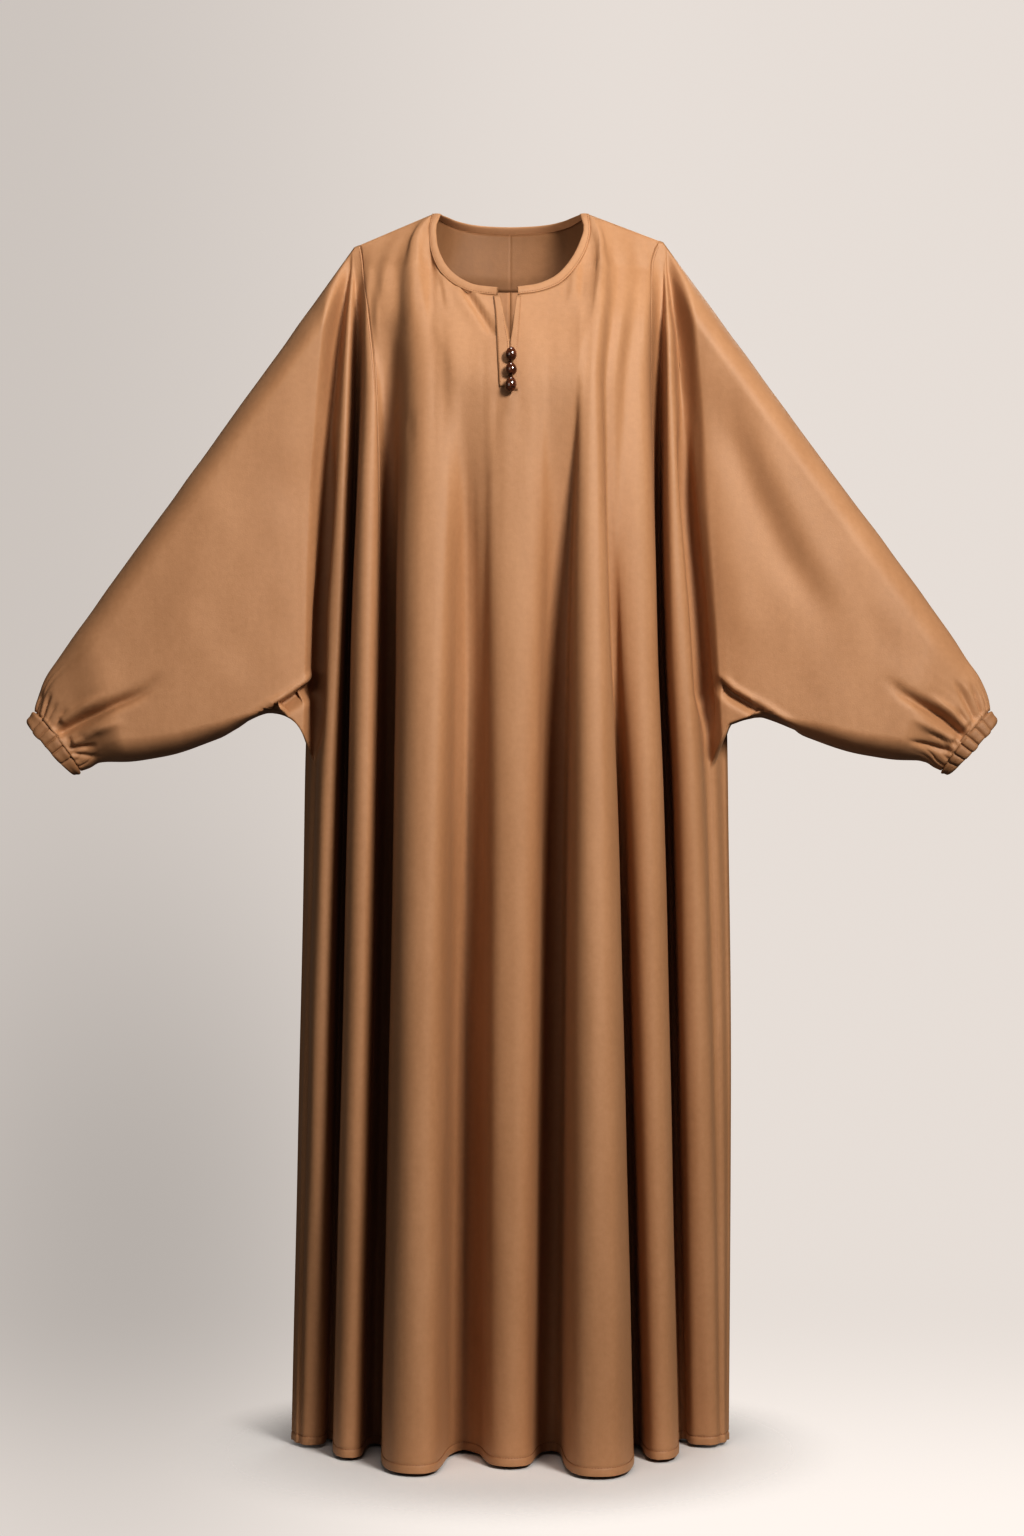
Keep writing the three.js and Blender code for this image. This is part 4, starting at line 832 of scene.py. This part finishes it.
# back panels
backs = {}
for side, (a, b) in {"left": (PANEL, MID), "right": (MID, LAST - PANEL)}.items():
    sh = Sheet()
    us = columns(a, b, N_BACK)
    gu, gw = upper(False, us, R_UP), lower(False, us, R_LOW)
    gu[-1] = gw[0]
    sh.grid(gu)
    sh.grid(gw)
    sh.done()
    ob = build_sheet("back_panel_" + side, sh, body_detail(sh.P, False) + hem_profile(sh.P), CREPE, not_hem)
    backs[side] = (ob, sh, gw)


# sleeves
def tidy_root(side):
    left = side == "L"
    u1 = 1.0 if left else LAST - 1.0
    ends = columns(0, 1, N_FRONT)[::-1][1:] if left else columns(LAST - 1, LAST, N_FRONT)[1:]
    out = []
    for is_front in (True, False):
        a = upper(is_front, [u1], R_UP)[:, 0]
        b = underarm(is_front, ends)
        out.append(np.concatenate([a, b]))
    return out


sleeves, side_low = {}, {}
for side, word in (("L", "left"), ("R", "right")):
    sh, left = Sheet(), side == "L"
    a, b = (1, PANEL) if left else (LAST - PANEL, LAST - 1)
    side_low[word] = {}
    for is_front in (True, False):
        n = N_FRONT if is_front else N_BACK
        us, ul = columns(a, b, n), columns(0, b, n) if left else columns(a, LAST, n)
        g, gw = upper(is_front, us, R_UP), lower(is_front, ul, R_LOW)
        g[-1] = gw[0, -len(us) :] if left else gw[0, : len(us)]
        sh.grid(g, is_front, front=float(is_front), s=0.0)
        sh.grid(gw, is_front, front=float(is_front), s=0.0)
        side_low[word][is_front] = gw
    rf, rb = tidy_root(side)
    wf, wb = shares(rf), shares(rb)
    Gf, Gb = sleeve_point(side, True, rf, wf, S_RING), sleeve_point(side, False, rb, wb, S_RING)
    Gf[0], Gb[0] = rf, rb
    Gb[:, 0], Gb[:, -1] = Gf[:, 0], Gf[:, -1]
    ring = np.concatenate([Gf, Gb[:, :-1][:, ::-1]], 1)
    isf = np.concatenate([np.ones(Gf.shape[1]), np.zeros(Gb.shape[1] - 1)])
    sh.grid(ring, left, front=isf[None], s=S_RING[:, None], w=np.concatenate([wf, wb[:-1][::-1]])[None])
    sh.done()
    X, V = drawn(sh.P)
    h = np.zeros(len(sh.P))
    F, S = sh.I["front"] > 0.5, sh.I["s"]
    for is_front in (True, False):
        m = F if is_front else ~F
        inside = smooth((S - 0.0) / 0.06)
        for pts, w_, d_, ends, sharp in SLEEVE_STROKES[(side, is_front)]:
            if ends[0] < 0.1:
                d_ = d_ * 1.9
            h += np.where(m, stroke(X, V, pts, w_, d_, ends, sharp), 0)
        body = body_detail(sh.P, is_front)
        h += np.where(m, body * (1 - smooth(S / 0.15)), 0)
    for pts, sd, dep, edge_, reach_, ends in SHELVES[side]:
        h += np.where(F & (S > 0), shelf(X, V, pts, sd, dep, edge_, reach_, ends), 0)
    # all the small gathers where the cloth is drawn into the cuff
    rng = np.random.RandomState(5 if left else 9)
    ang = np.pi * sh.I["w"] * np.where(F, 1, -1)
    near = np.clip((1 - S), 0, 1)
    for k in range(26):
        c, wid, dep, reach = -np.pi + 2 * np.pi * (k + rng.uniform(-0.3, 0.3)) / 26, rng.uniform(0.05, 0.09), rng.uniform(1.2, 2.8), rng.uniform(0.025, 0.10)
        dd = np.angle(np.exp(1j * (ang - c)))
        h += np.where(S > 0.5, -dep * np.exp(-((dd / wid) ** 2)) * np.exp(-((near / reach) ** 1.3)) * smooth(near / 0.008 + 0.4), 0)
    h += hem_profile(sh.P)
    h += np.where(S > 0.01, 0.7 * slow(X / 30.0, V / 30.0) * smooth(S / 0.2) * smooth(near / 0.1), 0)
    ob = build_sheet("sleeve_" + word, sh, h, CREPE, not_hem)
    sleeves[word] = (ob, sh)


# neck binding: a folded tape, rounded, over the seam line
def binding_lines():
    seam, edge = [], []
    uL = columns(NECK, MID, N_FRONT)[::-1]
    for u in uL:
        t = float(neck_share(u)) * 6
        E = NECK_LINE["L"]["edge"]
        seam.append(top_edge(True, u, -1))
        edge.append(seen(*[float(curve(np.arange(7), E[i], t)) for i in range(3)]))
    l = (NECK_LINE["L"]["edge"][0][0], NECK_LINE["L"]["edge"][1][0], 2)
    r = (NECK_LINE["R"]["edge"][0][0], NECK_LINE["R"]["edge"][1][0], 2)
    for u in columns(NECK, LAST - NECK, N_BACK)[1:-1]:
        seam.append(top_edge(False, u))
        edge.append(back_neck(NECK_BACK["edge"], (u - NECK) / (LAST - 2 * NECK), l, r))
    for u in columns(MID, LAST - NECK, N_FRONT)[::-1]:
        t = float(neck_share(LAST - u)) * 6
        E = NECK_LINE["R"]["edge"]
        seam.append(top_edge(True, u, 1))
        edge.append(seen(*[float(curve(np.arange(7), E[i], t)) for i in range(3)]))
    return np.array(seam), np.array(edge)


seam, edge = binding_lines()
# the tape's own section: from inside the seam, over the free edge, to outside the seam
acr = edge - seam
acr_n = acr / np.linalg.norm(acr, axis=1, keepdims=True)
tan = np.gradient(seam, axis=0)
tan /= np.linalg.norm(tan, axis=1, keepdims=True)
nb = np.cross(tan, acr_n)
nb /= np.linalg.norm(nb, axis=1, keepdims=True)
if nb[len(nb) // 2, 1] < 0:
    nb = -nb
# share across (0 seam, 1 edge) and height outwards (mm)
PROFILE = [(-0.02, -0.9), (0.12, -1.1), (0.45, -1.25), (0.75, -1.2), (0.93, -0.9), (1.0, -0.3), (1.0, 0.35), (0.93, 0.95), (0.75, 1.3), (0.5, 1.4), (0.27, 1.25), (0.16, 0.85), (0.08, 1.05), (-0.04, 0.75)]
w_across = np.linalg.norm(acr, axis=1)
rows = np.array([seam + acr * f + nb * h for f, h in PROFILE])
ripple = 0.16 * np.sin(np.cumsum(np.linalg.norm(np.gradient(seam, axis=0), axis=1)) / 3.1)
rows[7:11] += nb[None] * ripple[None, :, None]
bind = Sheet()
bind.grid(np.concatenate([rows, rows[:1]]), False)
bind.done()
ends = [[int(i) for i in bind.where[np.arange(len(PROFILE)) * len(seam) + c]] for c in (0, len(seam) - 1)]
bind_ob = mesh_object("neck_binding_tape", bind.P, bind.Q.tolist() + [ends[0][::-1], ends[1]], TAPE)

# facing inside the back neck
fac = Sheet()
uf = np.unique(np.concatenate([columns(NECK, LAST - NECK, N_BACK), MID + np.array([-0.06, -0.045, -0.03, -0.015, 0.015, 0.03, 0.045, 0.06])]))
RF = R_UP[R_UP <= SLIT_R + 1e-9]
gf = upper(False, uf, RF)
fac.grid(gf, u=uf[None], r=RF[:, None])
fac.done()
NF = fac.normals()
fac_ob = mesh_object("back_neck_facing_cloth", fac.P - NF * (1.75 - np.maximum(0.7 * np.exp(-(((fac.I["u"] - MID) / 0.018) ** 2)), 0.85 * np.exp(-(((fac.I["r"] - RF[-1]) / 0.006) ** 2))))[:, None], fac.Q, FACING_SHADED)
solidify(fac_ob, 0.5)


# placket strips
R_TOP = np.linspace(0, 0.3, 90)
NEAR_SLIT = {}
for slit, (a, b) in {-1: (6, MID), 1: (MID, 10)}.items():
    G = upper(True, columns(a, b, N_FRONT), R_TOP, slit)
    NEAR_SLIT[slit] = (*drawn(G), G[..., 1])


def front_depth(x, v, slit):
    """Depth of the front near the slit at a drawing point."""
    Xd, Vd, Y = NEAR_SLIT[slit]
    vs = [np.interp(x, Xd[i], Vd[i]) for i in range(len(R_TOP))]
    ys = [np.interp(x, Xd[i], Y[i]) for i in range(len(R_TOP))]
    return float(np.interp(v, vs, ys))


plackets, placket_edges = {}, {}
for side, word in (("L", "left"), ("R", "right")):
    vs, out, inn = PLACKET[side]
    V = np.linspace(vs[0], vs[-1], 34)
    O, I = curve(vs, out, V), curve(vs, inn, V)
    G = np.zeros((len(V), 7, 3))
    for i in range(len(V)):
        for j in range(7):
            x = mix(I[i], O[i], j / 6)
            G[i, j] = seen(x, V[i], front_depth(x, V[i], -1 if side == "L" else 1))
    sh = Sheet()
    sh.grid(G, side == "R")
    sh.done()
    N = sh.normals()
    lift = np.full(len(sh.P), 1.5)
    j = np.tile(np.arange(7), len(V))[np.unique(sh.where, return_index=True)[1]] if False else None
    ob = mesh_object("placket_strip_" + word, sh.P + N * lift[:, None], sh.Q, TAPE)
    solidify(ob, 1.0)
    plackets[word] = ob
    placket_edges[side] = G


# cuffs: cloth ruched over elastic, each rib a small puff; the creases between them, as shares of the way from
# the top edge to the bottom edge, in front and behind
CREASES = {
    "L": ([0.0, 0.14, 0.29, 0.45, 0.61, 0.80], [0.97, 0.83, 0.66, 0.5, 0.34, 0.2, 0.07]),
    "R": ([0.0, 0.15, 0.29, 0.45, 0.59, 0.74, 0.87], [0.98, 0.8, 0.64, 0.46, 0.3, 0.12]),
}


def cuff(side):
    (I0, I1), (O0, O1) = CUFF[side]
    ia, ib = seen(*I0, 2), seen(*I1, 2)
    oa, ob_ = seen(*O0, 2), seen(*O1, 2)
    n, m = 420, 26
    th = np.linspace(0, 2 * np.pi, n, endpoint=False)
    rng = np.random.RandomState(2 if side == "L" else 7)
    f_sh, b_sh = CREASES[side]
    cuts = np.array([math.acos(1 - 2 * p) + 0.03 for p in f_sh] + [2 * np.pi - math.acos(1 - 2 * p) for p in b_sh])
    cuts = np.sort(cuts)
    K = len(cuts)
    gaps = np.diff(np.concatenate([cuts, [cuts[0] + 2 * np.pi]]))
    k = (np.searchsorted(cuts, th, side="right") - 1) % K
    tall = rng.uniform(0.8, 1.2, K)
    phase = rng.uniform(0, 6.28, K)
    cx, cv = cuff_out(side)
    lean = np.array([cx, 0, -cv])

    def ring(t, level):
        a, b = mix(ia, oa, t), mix(ib, ob_, t)
        c, hv = (a + b) / 2, (a - b) / 2
        # the creases wander a little from edge to edge
        sway = 0.05 * np.sin(2.4 * t + phase[k]) * np.minimum(1, gaps[k])
        f = np.clip(((th - cuts[k]) % (2 * np.pi)) / gaps[k] + sway * np.sin(np.pi * ((th - cuts[k]) % (2 * np.pi)) / gaps[k]), 0, 1)
        rib = np.sin(np.pi * f) ** 0.6
        wide = np.clip(gaps[k] / 0.48, 0.5, 1.25)
        dent = 0.25 * np.sin(9 * t + 2 * phase[k])
        cleft = np.exp(-((np.minimum(f, 1 - f) * gaps[k] / 0.032) ** 2))
        if level == 0:
            e = np.sqrt(np.clip(1 - abs(2 * (t - 0.53) / 1.04) ** 5, 0, 1))
            grow = 1 + (-1.0 - 1.7 * (1 - e) + (3.0 * tall[k] + dent) * wide * rib * (0.35 + 0.65 * e) - 1.5 * cleft) / 31
        else:
            grow = 1 - (4.2 - 0.9 * rib) / 31
        p = c[None] + hv[None] * (np.cos(th) * grow)[:, None]
        p[:, 1] += -np.sin(th) * CUFF_DEPTH * grow
        p += lean[None] * (-CUFF_BULGE * U * (1 - t) * np.maximum(0, np.sin(th)))[:, None]
        p += lean[None] * (0.9 * np.sin(phase[k]) * rib * t)[:, None]
        return p

    rows = [ring(-0.16 + 1.19 * j / (m - 1), 0) for j in range(m)] + [ring(t, 1) for t in (1.0, 0.5, -0.1)]
    G = np.array(rows)
    G = np.concatenate([G, G[:1]])
    G = np.concatenate([G, G[:, :1]], 1)
    sh = Sheet()
    sh.grid(G, side == "L")
    sh.done()
    return sh


cuffs = {}
for side, word in (("L", "left"), ("R", "right")):
    sh = cuff(side)
    cuffs[word] = mesh_object("cuff_ruched_" + word, sh.P, sh.Q, RUCHED_SHADED)


# beads: egg-shaped, a little fuller below; their drilled neck and loop of thread are not built
def bead(i):
    x, v, half, lean = BUTTONS[i]
    y = front_depth(x, v, 1)
    out = 0.8 + 0.35 + 0.5 + 0.5 + 0.5 + 0.35 + 0.8 + BUTTON_R[1]
    c = seen(x, v, y - out)
    n, m = 40, 28
    G = np.zeros((m + 1, n + 1, 3))
    for a in range(m + 1):
        ph = math.pi * a / m
        zc, r = math.cos(ph), math.sin(ph)
        r *= 1 - 0.10 * zc  # a little fuller below
        for b in range(n + 1):
            th = 2 * math.pi * (b % n) / n
            G[a, b] = (BUTTON_R[0] * r * math.cos(th), BUTTON_R[1] * r * math.sin(th), half * zc)
    a = math.radians(lean)
    R = np.array([[math.cos(a), 0, math.sin(a)], [0, 1, 0], [-math.sin(a), 0, math.cos(a)]])
    G = G @ R.T + c
    sh = Sheet()
    sh.grid(G, True)
    sh.done()
    return mesh_object(f"bead_{i + 1}", sh.P, sh.Q.tolist() + [list(t) for t in sh.T], BEAD)


beads = [bead(i) for i in range(3)]


# ---------------------------------------------------------------- stitches
def stitch_mesh(name, paths, pitch=3.4, length=2.3, r=0.32):
    """Each path is (points, normals). A stitch is a small rounded bar lying on the cloth."""
    V, F = [], []
    ring = [(math.cos(a), math.sin(a)) for a in np.arange(6) * math.pi / 3]
    for P, N in paths:
        d = np.concatenate([[0], np.cumsum(np.linalg.norm(np.diff(P, axis=0), axis=1))])
        at = np.arange(pitch / 2, d[-1] - length / 2, pitch)
        for s in at:
            ts = [s - length / 2, s - length * 0.3, s + length * 0.3, s + length / 2]
            p = np.stack([np.interp(ts, d, P[:, k]) for k in range(3)], 1)
            n = np.array([np.interp(s, d, N[:, k]) for k in range(3)])
            n /= np.linalg.norm(n)
            t = p[-1] - p[0]
            t /= max(np.linalg.norm(t), 1e-9)
            b = np.cross(t, n)
            base = len(V)
            for q, rr, up in zip(p, (0.35, 1, 1, 0.35), (-0.25, 0.12, 0.12, -0.25)):
                for ca, sa in ring:
                    V.append(q + n * (up * r * 2 + sa * r * rr) + b * ca * r * rr * 1.25)
            for k in range(3):
                for j in range(6):
                    F.append((base + k * 6 + j, base + k * 6 + (j + 1) % 6, base + (k + 1) * 6 + (j + 1) % 6, base + (k + 1) * 6 + j))
            F.append(tuple(base + j for j in range(5, -1, -1)))
            F.append(tuple(base + 18 + j for j in range(6)))
    return mesh_object(name, np.array(V), F, THREAD)


def surface_path(pts, sheet, lift):
    """Pulls points onto the nearest finished points' plane of a sheet, lifted off it."""
    from mathutils.kdtree import KDTree

    if not hasattr(sheet, "tree"):
        sheet.tree = KDTree(len(sheet.final))
        for i, p in enumerate(sheet.final):
            sheet.tree.insert(p, i)
        sheet.tree.balance()
    P, N = [], []
    for p in pts:
        near = sheet.tree.find_n(Vector(p), 6)
        w = np.array([1 / (d + 0.4) ** 2 for _, _, d in near])
        w /= w.sum()
        ids = [i for _, i, _ in near]
        n = (sheet.N[ids] * w[:, None]).sum(0)
        n /= np.linalg.norm(n)
        off = ((sheet.final[ids] - p) @ n * w).sum()
        P.append(p + n * (off + SHELL / 2 + lift))
        N.append(n)
    return np.array(P), np.array(N)


def row_path(G, up_from_hem, sheet):
    """The line a given way above the hem on a skirt grid."""
    z = HEM_Z + up_from_hem
    pts = []
    for c in range(G.shape[1]):
        col = G[:, c]
        pts.append([np.interp(-z, -col[:, 2], col[:, k]) for k in range(3)])
    return surface_path(np.array(pts), sheet, 0.12)


stitch_paths = {"front": [row_path(g_low, 9.4, front)]}
for word in ("left", "right"):
    ob, sh, gw = backs[word]
    stitch_paths["back_" + word] = [row_path(gw, 9.4, sh)]
# topstitch beside the binding, and down the slit
bp = seam + acr * 0.16 + nb * 1.0
neck_stitch = [(bp, nb)]
slit_paths = []
for side in ("L", "R"):
    G = placket_edges[side]
    for j, lo in ((5.2, 0), (0.9, 0)):
        a = int(j)
        line = mix(G[:, a], G[:, min(6, a + 1)], j - a)
        P, N = surface_path(line, front, 1.55)
        slit_paths.append((P, N))
arm_paths = {"L": [], "R": []}
ST_FRONT = stitch_mesh("hem_stitch_front", stitch_paths["front"])
ST_BL = stitch_mesh("hem_stitch_back_left", stitch_paths["back_left"])
ST_BR = stitch_mesh("hem_stitch_back_right", stitch_paths["back_right"])
ST_NECK = stitch_mesh("neck_stitch", neck_stitch, 3.0, 2.0, 0.28)
ST_SLIT = stitch_mesh("slit_stitch", slit_paths, 3.0, 2.0, 0.26)
# the seams between middle and side panels are stitched down on both sides
for side, c, dirs in (("L", PANEL, (1, -1)), ("R", LAST - PANEL, (-1, 1))):
    base = upper(True, [c], np.linspace(0.012, 0.30 if side == "L" else 0.9, 150 if side == "L" else 320))[:, 0]
    for q, d in enumerate(dirs):
        sh = front if q == 0 else sleeves["left" if side == "L" else "right"][1]
        P, N = surface_path(base, sh, 0)
        T = np.gradient(P, axis=0)
        T /= np.linalg.norm(T, axis=1, keepdims=True)
        across = np.cross(T, N)
        across *= np.sign(across[:, :1]) * d
        arm_paths[side].append(surface_path(base + across * 1.7, sh, 0.1))
ST_ARM = stitch_mesh("panel_seam_stitch", arm_paths["L"] + arm_paths["R"], 3.2, 2.2, 0.26)
for word in ("left", "right"):
    stitch_paths["side_" + word] = [row_path(side_low[word][f], 9.4, sleeves[word][1]) for f in (True, False)]
ST_SIDE = [stitch_mesh("hem_stitch_side_" + word, stitch_paths["side_" + word]) for word in ("left", "right")]

# ---------------------------------------------------------------- riding, standing for the solids
PIECES = [
    (front_ob, ["front"], "satin_crepe"),
    (backs["left"][0], ["back_left"], "satin_crepe"),
    (backs["right"][0], ["back_right"], "satin_crepe"),
    (sleeves["left"][0], ["sleeve_left"], "satin_crepe"),
    (sleeves["right"][0], ["sleeve_right"], "satin_crepe"),
    (cuffs["left"], ["cuff_left"], "elastic_cuff"),
    (cuffs["right"], ["cuff_right"], "elastic_cuff"),
    (bind_ob, ["neck_binding"], "tape"),
    (fac_ob, ["back_neck_facing"], "tape"),
    (plackets["left"], ["placket_left"], "tape"),
    (plackets["right"], ["placket_right"], "tape"),
    (beads[0], ["button_1"], "bead"),
    (beads[1], ["button_2"], "bead"),
    (beads[2], ["button_3"], "bead"),
    (ST_FRONT, [], "satin_crepe"),
    (ST_BL, [], "satin_crepe"),
    (ST_BR, [], "satin_crepe"),
    (ST_NECK, [], "tape"),
    (ST_SLIT, [], "tape"),
    (ST_ARM, [], "satin_crepe"),
    (ST_SIDE[0], [], "satin_crepe"),
    (ST_SIDE[1], [], "satin_crepe"),
]
for ob, nodes, slot in PIECES:
    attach(ob, "root")
    if nodes:
        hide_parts(*nodes)

# keyed by the solid that each panel stands for
FLAT = {
    "front": ((1.12, 1.42), 1.08),
    "back_left": ((0.40, 1.41), 0.34),
    "back_right": ((0.55, 1.41), 0.48),
    "sleeve_left": ((1.36, 1.42), 0.86),
    "sleeve_right": ((1.24, 1.42), 0.62),
}
panels = {nodes[0]: ob for ob, nodes, slot in PIECES if nodes and nodes[0] in FLAT}
assert set(panels) == set(FLAT)

# ---------------------------------------------------------------- camera, floor, light
cam_data = bpy.data.cameras.new("camera")
cam_data.sensor_fit = "AUTO"
cam_data.sensor_width = 36
cam_data.lens = 36 * 3114 / 1536
cam_data.clip_end = 50
cam = bpy.data.objects.new("camera", cam_data)
cam.location = (EYE[0] / 1000, EYE[1] / 1000, EYE[2] / 1000)
cam.rotation_euler = (math.pi / 2, 0, 0)
bpy.context.scene.collection.objects.link(cam)
bpy.context.scene.camera = cam

FLOOR_Z = (HEM_Z - 4) / 1000
n_ring, n_seg = 14, 96
fv, ff = [(0, 0, FLOOR_Z)], []
for i in range(1, n_ring + 1):
    for j in range(n_seg):
        r, a = 3.2 * i / n_ring, 2 * math.pi * j / n_seg
        fv.append((r * math.cos(a), r * math.sin(a), FLOOR_Z))
for j in range(n_seg):
    ff.append((0, 1 + j, 1 + (j + 1) % n_seg))
for i in range(n_ring - 1):
    for j in range(n_seg):
        a, b = 1 + i * n_seg + j, 1 + i * n_seg + (j + 1) % n_seg
        ff.append((a, a + n_seg, b + n_seg, b))
floor_me = bpy.data.meshes.new("floor")
floor_me.from_pydata(fv, [], ff)
floor = bpy.data.objects.new("floor", floor_me)
bpy.context.scene.collection.objects.link(floor)
fm, nt, bsdf = nodes_of("floor_paper")
bsdf.inputs["Base Color"].default_value = (0.74, 0.715, 0.70, 1)
bsdf.inputs["Roughness"].default_value = 0.9
geo = nt.nodes.new("ShaderNodeNewGeometry")
ln = nt.nodes.new("ShaderNodeVectorMath")
ln.operation = "LENGTH"
flat = nt.nodes.new("ShaderNodeVectorMath")
flat.operation = "MULTIPLY"
flat.inputs[1].default_value = (1, 1, 0)
nt.links.new(geo.outputs["Position"], flat.inputs[0])
nt.links.new(flat.outputs[0], ln.inputs[0])
mr = nt.nodes.new("ShaderNodeMapRange")
mr.interpolation_type = "SMOOTHSTEP"
mr.inputs["From Min"].default_value = 0.20
mr.inputs["From Max"].default_value = 0.40
mr.inputs["To Min"].default_value = 1
mr.inputs["To Max"].default_value = 0
nt.links.new(ln.outputs["Value"], mr.inputs["Value"])
nt.links.new(mr.outputs[0], bsdf.inputs["Alpha"])
floor_me.materials.append(fm)

world = bpy.data.worlds.new("studio")
bpy.context.scene.world = world
world.use_nodes = True
wn = world.node_tree
wn.nodes.clear()
wo = wn.nodes.new("ShaderNodeOutputWorld")
bg_seen, bg_lit = wn.nodes.new("ShaderNodeBackground"), wn.nodes.new("ShaderNodeBackground")
lp, mixn = wn.nodes.new("ShaderNodeLightPath"), wn.nodes.new("ShaderNodeMixShader")
bg_seen.inputs["Color"].default_value = (0.76, 0.70, 0.655, 1)
bg_seen.inputs["Strength"].default_value = 1.0
bg_lit.inputs["Color"].default_value = (1.0, 0.97, 0.94, 1)
bg_lit.inputs["Strength"].default_value = 0.075
wtc = wn.nodes.new("ShaderNodeTexCoord")


def wmath(op, a, b=None, c=None, clamp=False):
    n = wn.nodes.new("ShaderNodeMath")
    n.operation = op
    n.use_clamp = clamp
    for i, val in enumerate((a, b, c)):
        if val is None:
            continue
        if hasattr(val, "is_linked"):
            wn.links.new(val, n.inputs[i])
        else:
            n.inputs[i].default_value = val
    return n.outputs[0]


def wsmooth(val, lo, hi, to_lo, to_hi):
    n = wn.nodes.new("ShaderNodeMapRange")
    n.interpolation_type = "SMOOTHSTEP"
    for key, q in (("From Min", lo), ("From Max", hi), ("To Min", to_lo), ("To Max", to_hi)):
        n.inputs[key].default_value = q
    wn.links.new(val, n.inputs["Value"])
    return n.outputs[0]


wsep = wn.nodes.new("ShaderNodeSeparateXYZ")
wn.links.new(wtc.outputs["Generated"], wsep.inputs[0])
dx, dy, dz = wsep.outputs
# painted light and shadow in the backdrop's colour: lighter to the right, and a painted soft shadow of the gown low on
# the left
side_f = wsmooth(dx, -0.17, 0.05, 0.80, 1.0)
far_x, far_z = wmath("MULTIPLY_ADD", dx, 1.0, 0.112), wmath("MULTIPLY_ADD", dz, 0.72, 0.105)
blob = wmath("SQRT", wmath("ADD", wmath("MULTIPLY", far_x, far_x), wmath("MULTIPLY", far_z, far_z)))
shade = wsmooth(blob, 0.0, 0.12, 0.79, 1.0)
ground = wsmooth(dz, -0.235, -0.165, 1.22, 1.0)
wmul = wn.nodes.new("ShaderNodeVectorMath")
wmul.operation = "SCALE"
wmul.inputs[0].default_value = (0.575, 0.535, 0.505)
wn.links.new(wmath("MULTIPLY", wmath("MULTIPLY", side_f, shade), ground), wmul.inputs["Scale"])
wn.links.new(wmul.outputs[0], bg_seen.inputs["Color"])
wn.links.new(lp.outputs["Is Camera Ray"], mixn.inputs[0])
wn.links.new(bg_lit.outputs[0], mixn.inputs[1])
wn.links.new(bg_seen.outputs[0], mixn.inputs[2])
wn.links.new(mixn.outputs[0], wo.inputs[0])


def area(name, loc, target, size, power, color=(1, 1, 1)):
    d = bpy.data.lights.new(name, "AREA")
    d.shape = "RECTANGLE"
    d.size, d.size_y = size
    d.energy = power
    d.color = color
    o = bpy.data.objects.new(name, d)
    o.location = loc
    o.rotation_euler = (Vector(target) - Vector(loc)).to_track_quat("-Z", "Y").to_euler()
    bpy.context.scene.collection.objects.link(o)
    return o


key_data = bpy.data.lights.new("key", "SPOT")
key_data.energy, key_data.color = 575, (1, 0.985, 0.955)
key_data.spot_size, key_data.spot_blend, key_data.shadow_soft_size = math.radians(56), 1.0, 0.55
key = bpy.data.objects.new("key", key_data)
key.location = (1.75, -3.0, 1.35)
key.rotation_euler = (Vector((0.0, -0.1, -0.36)) - key.location).to_track_quat("-Z", "Y").to_euler()
bpy.context.scene.collection.objects.link(key)
area("fill", (-1.6, -3.0, 0.3), (0, 0, -0.6), (1.6, 1.6), 13, (1, 0.97, 0.94))
area("behind", (0.9, 2.8, 1.4), (0, 0, -0.6), (1.2, 1.2), 12)
area("floor_light", (0.0, -0.4, 1.6), (0, -0.4, -1.4), (0.5, 0.5), 10)
area("neck_inside", (0.035, -0.03, -0.185), (0.05, 0.065, -0.045), (0.08, 0.03), 0.10, (1, 0.97, 0.94))

bpy.context.scene.view_settings.view_transform = "Standard"
bpy.context.scene.view_settings.look = LOOK
bpy.context.view_layer.update()
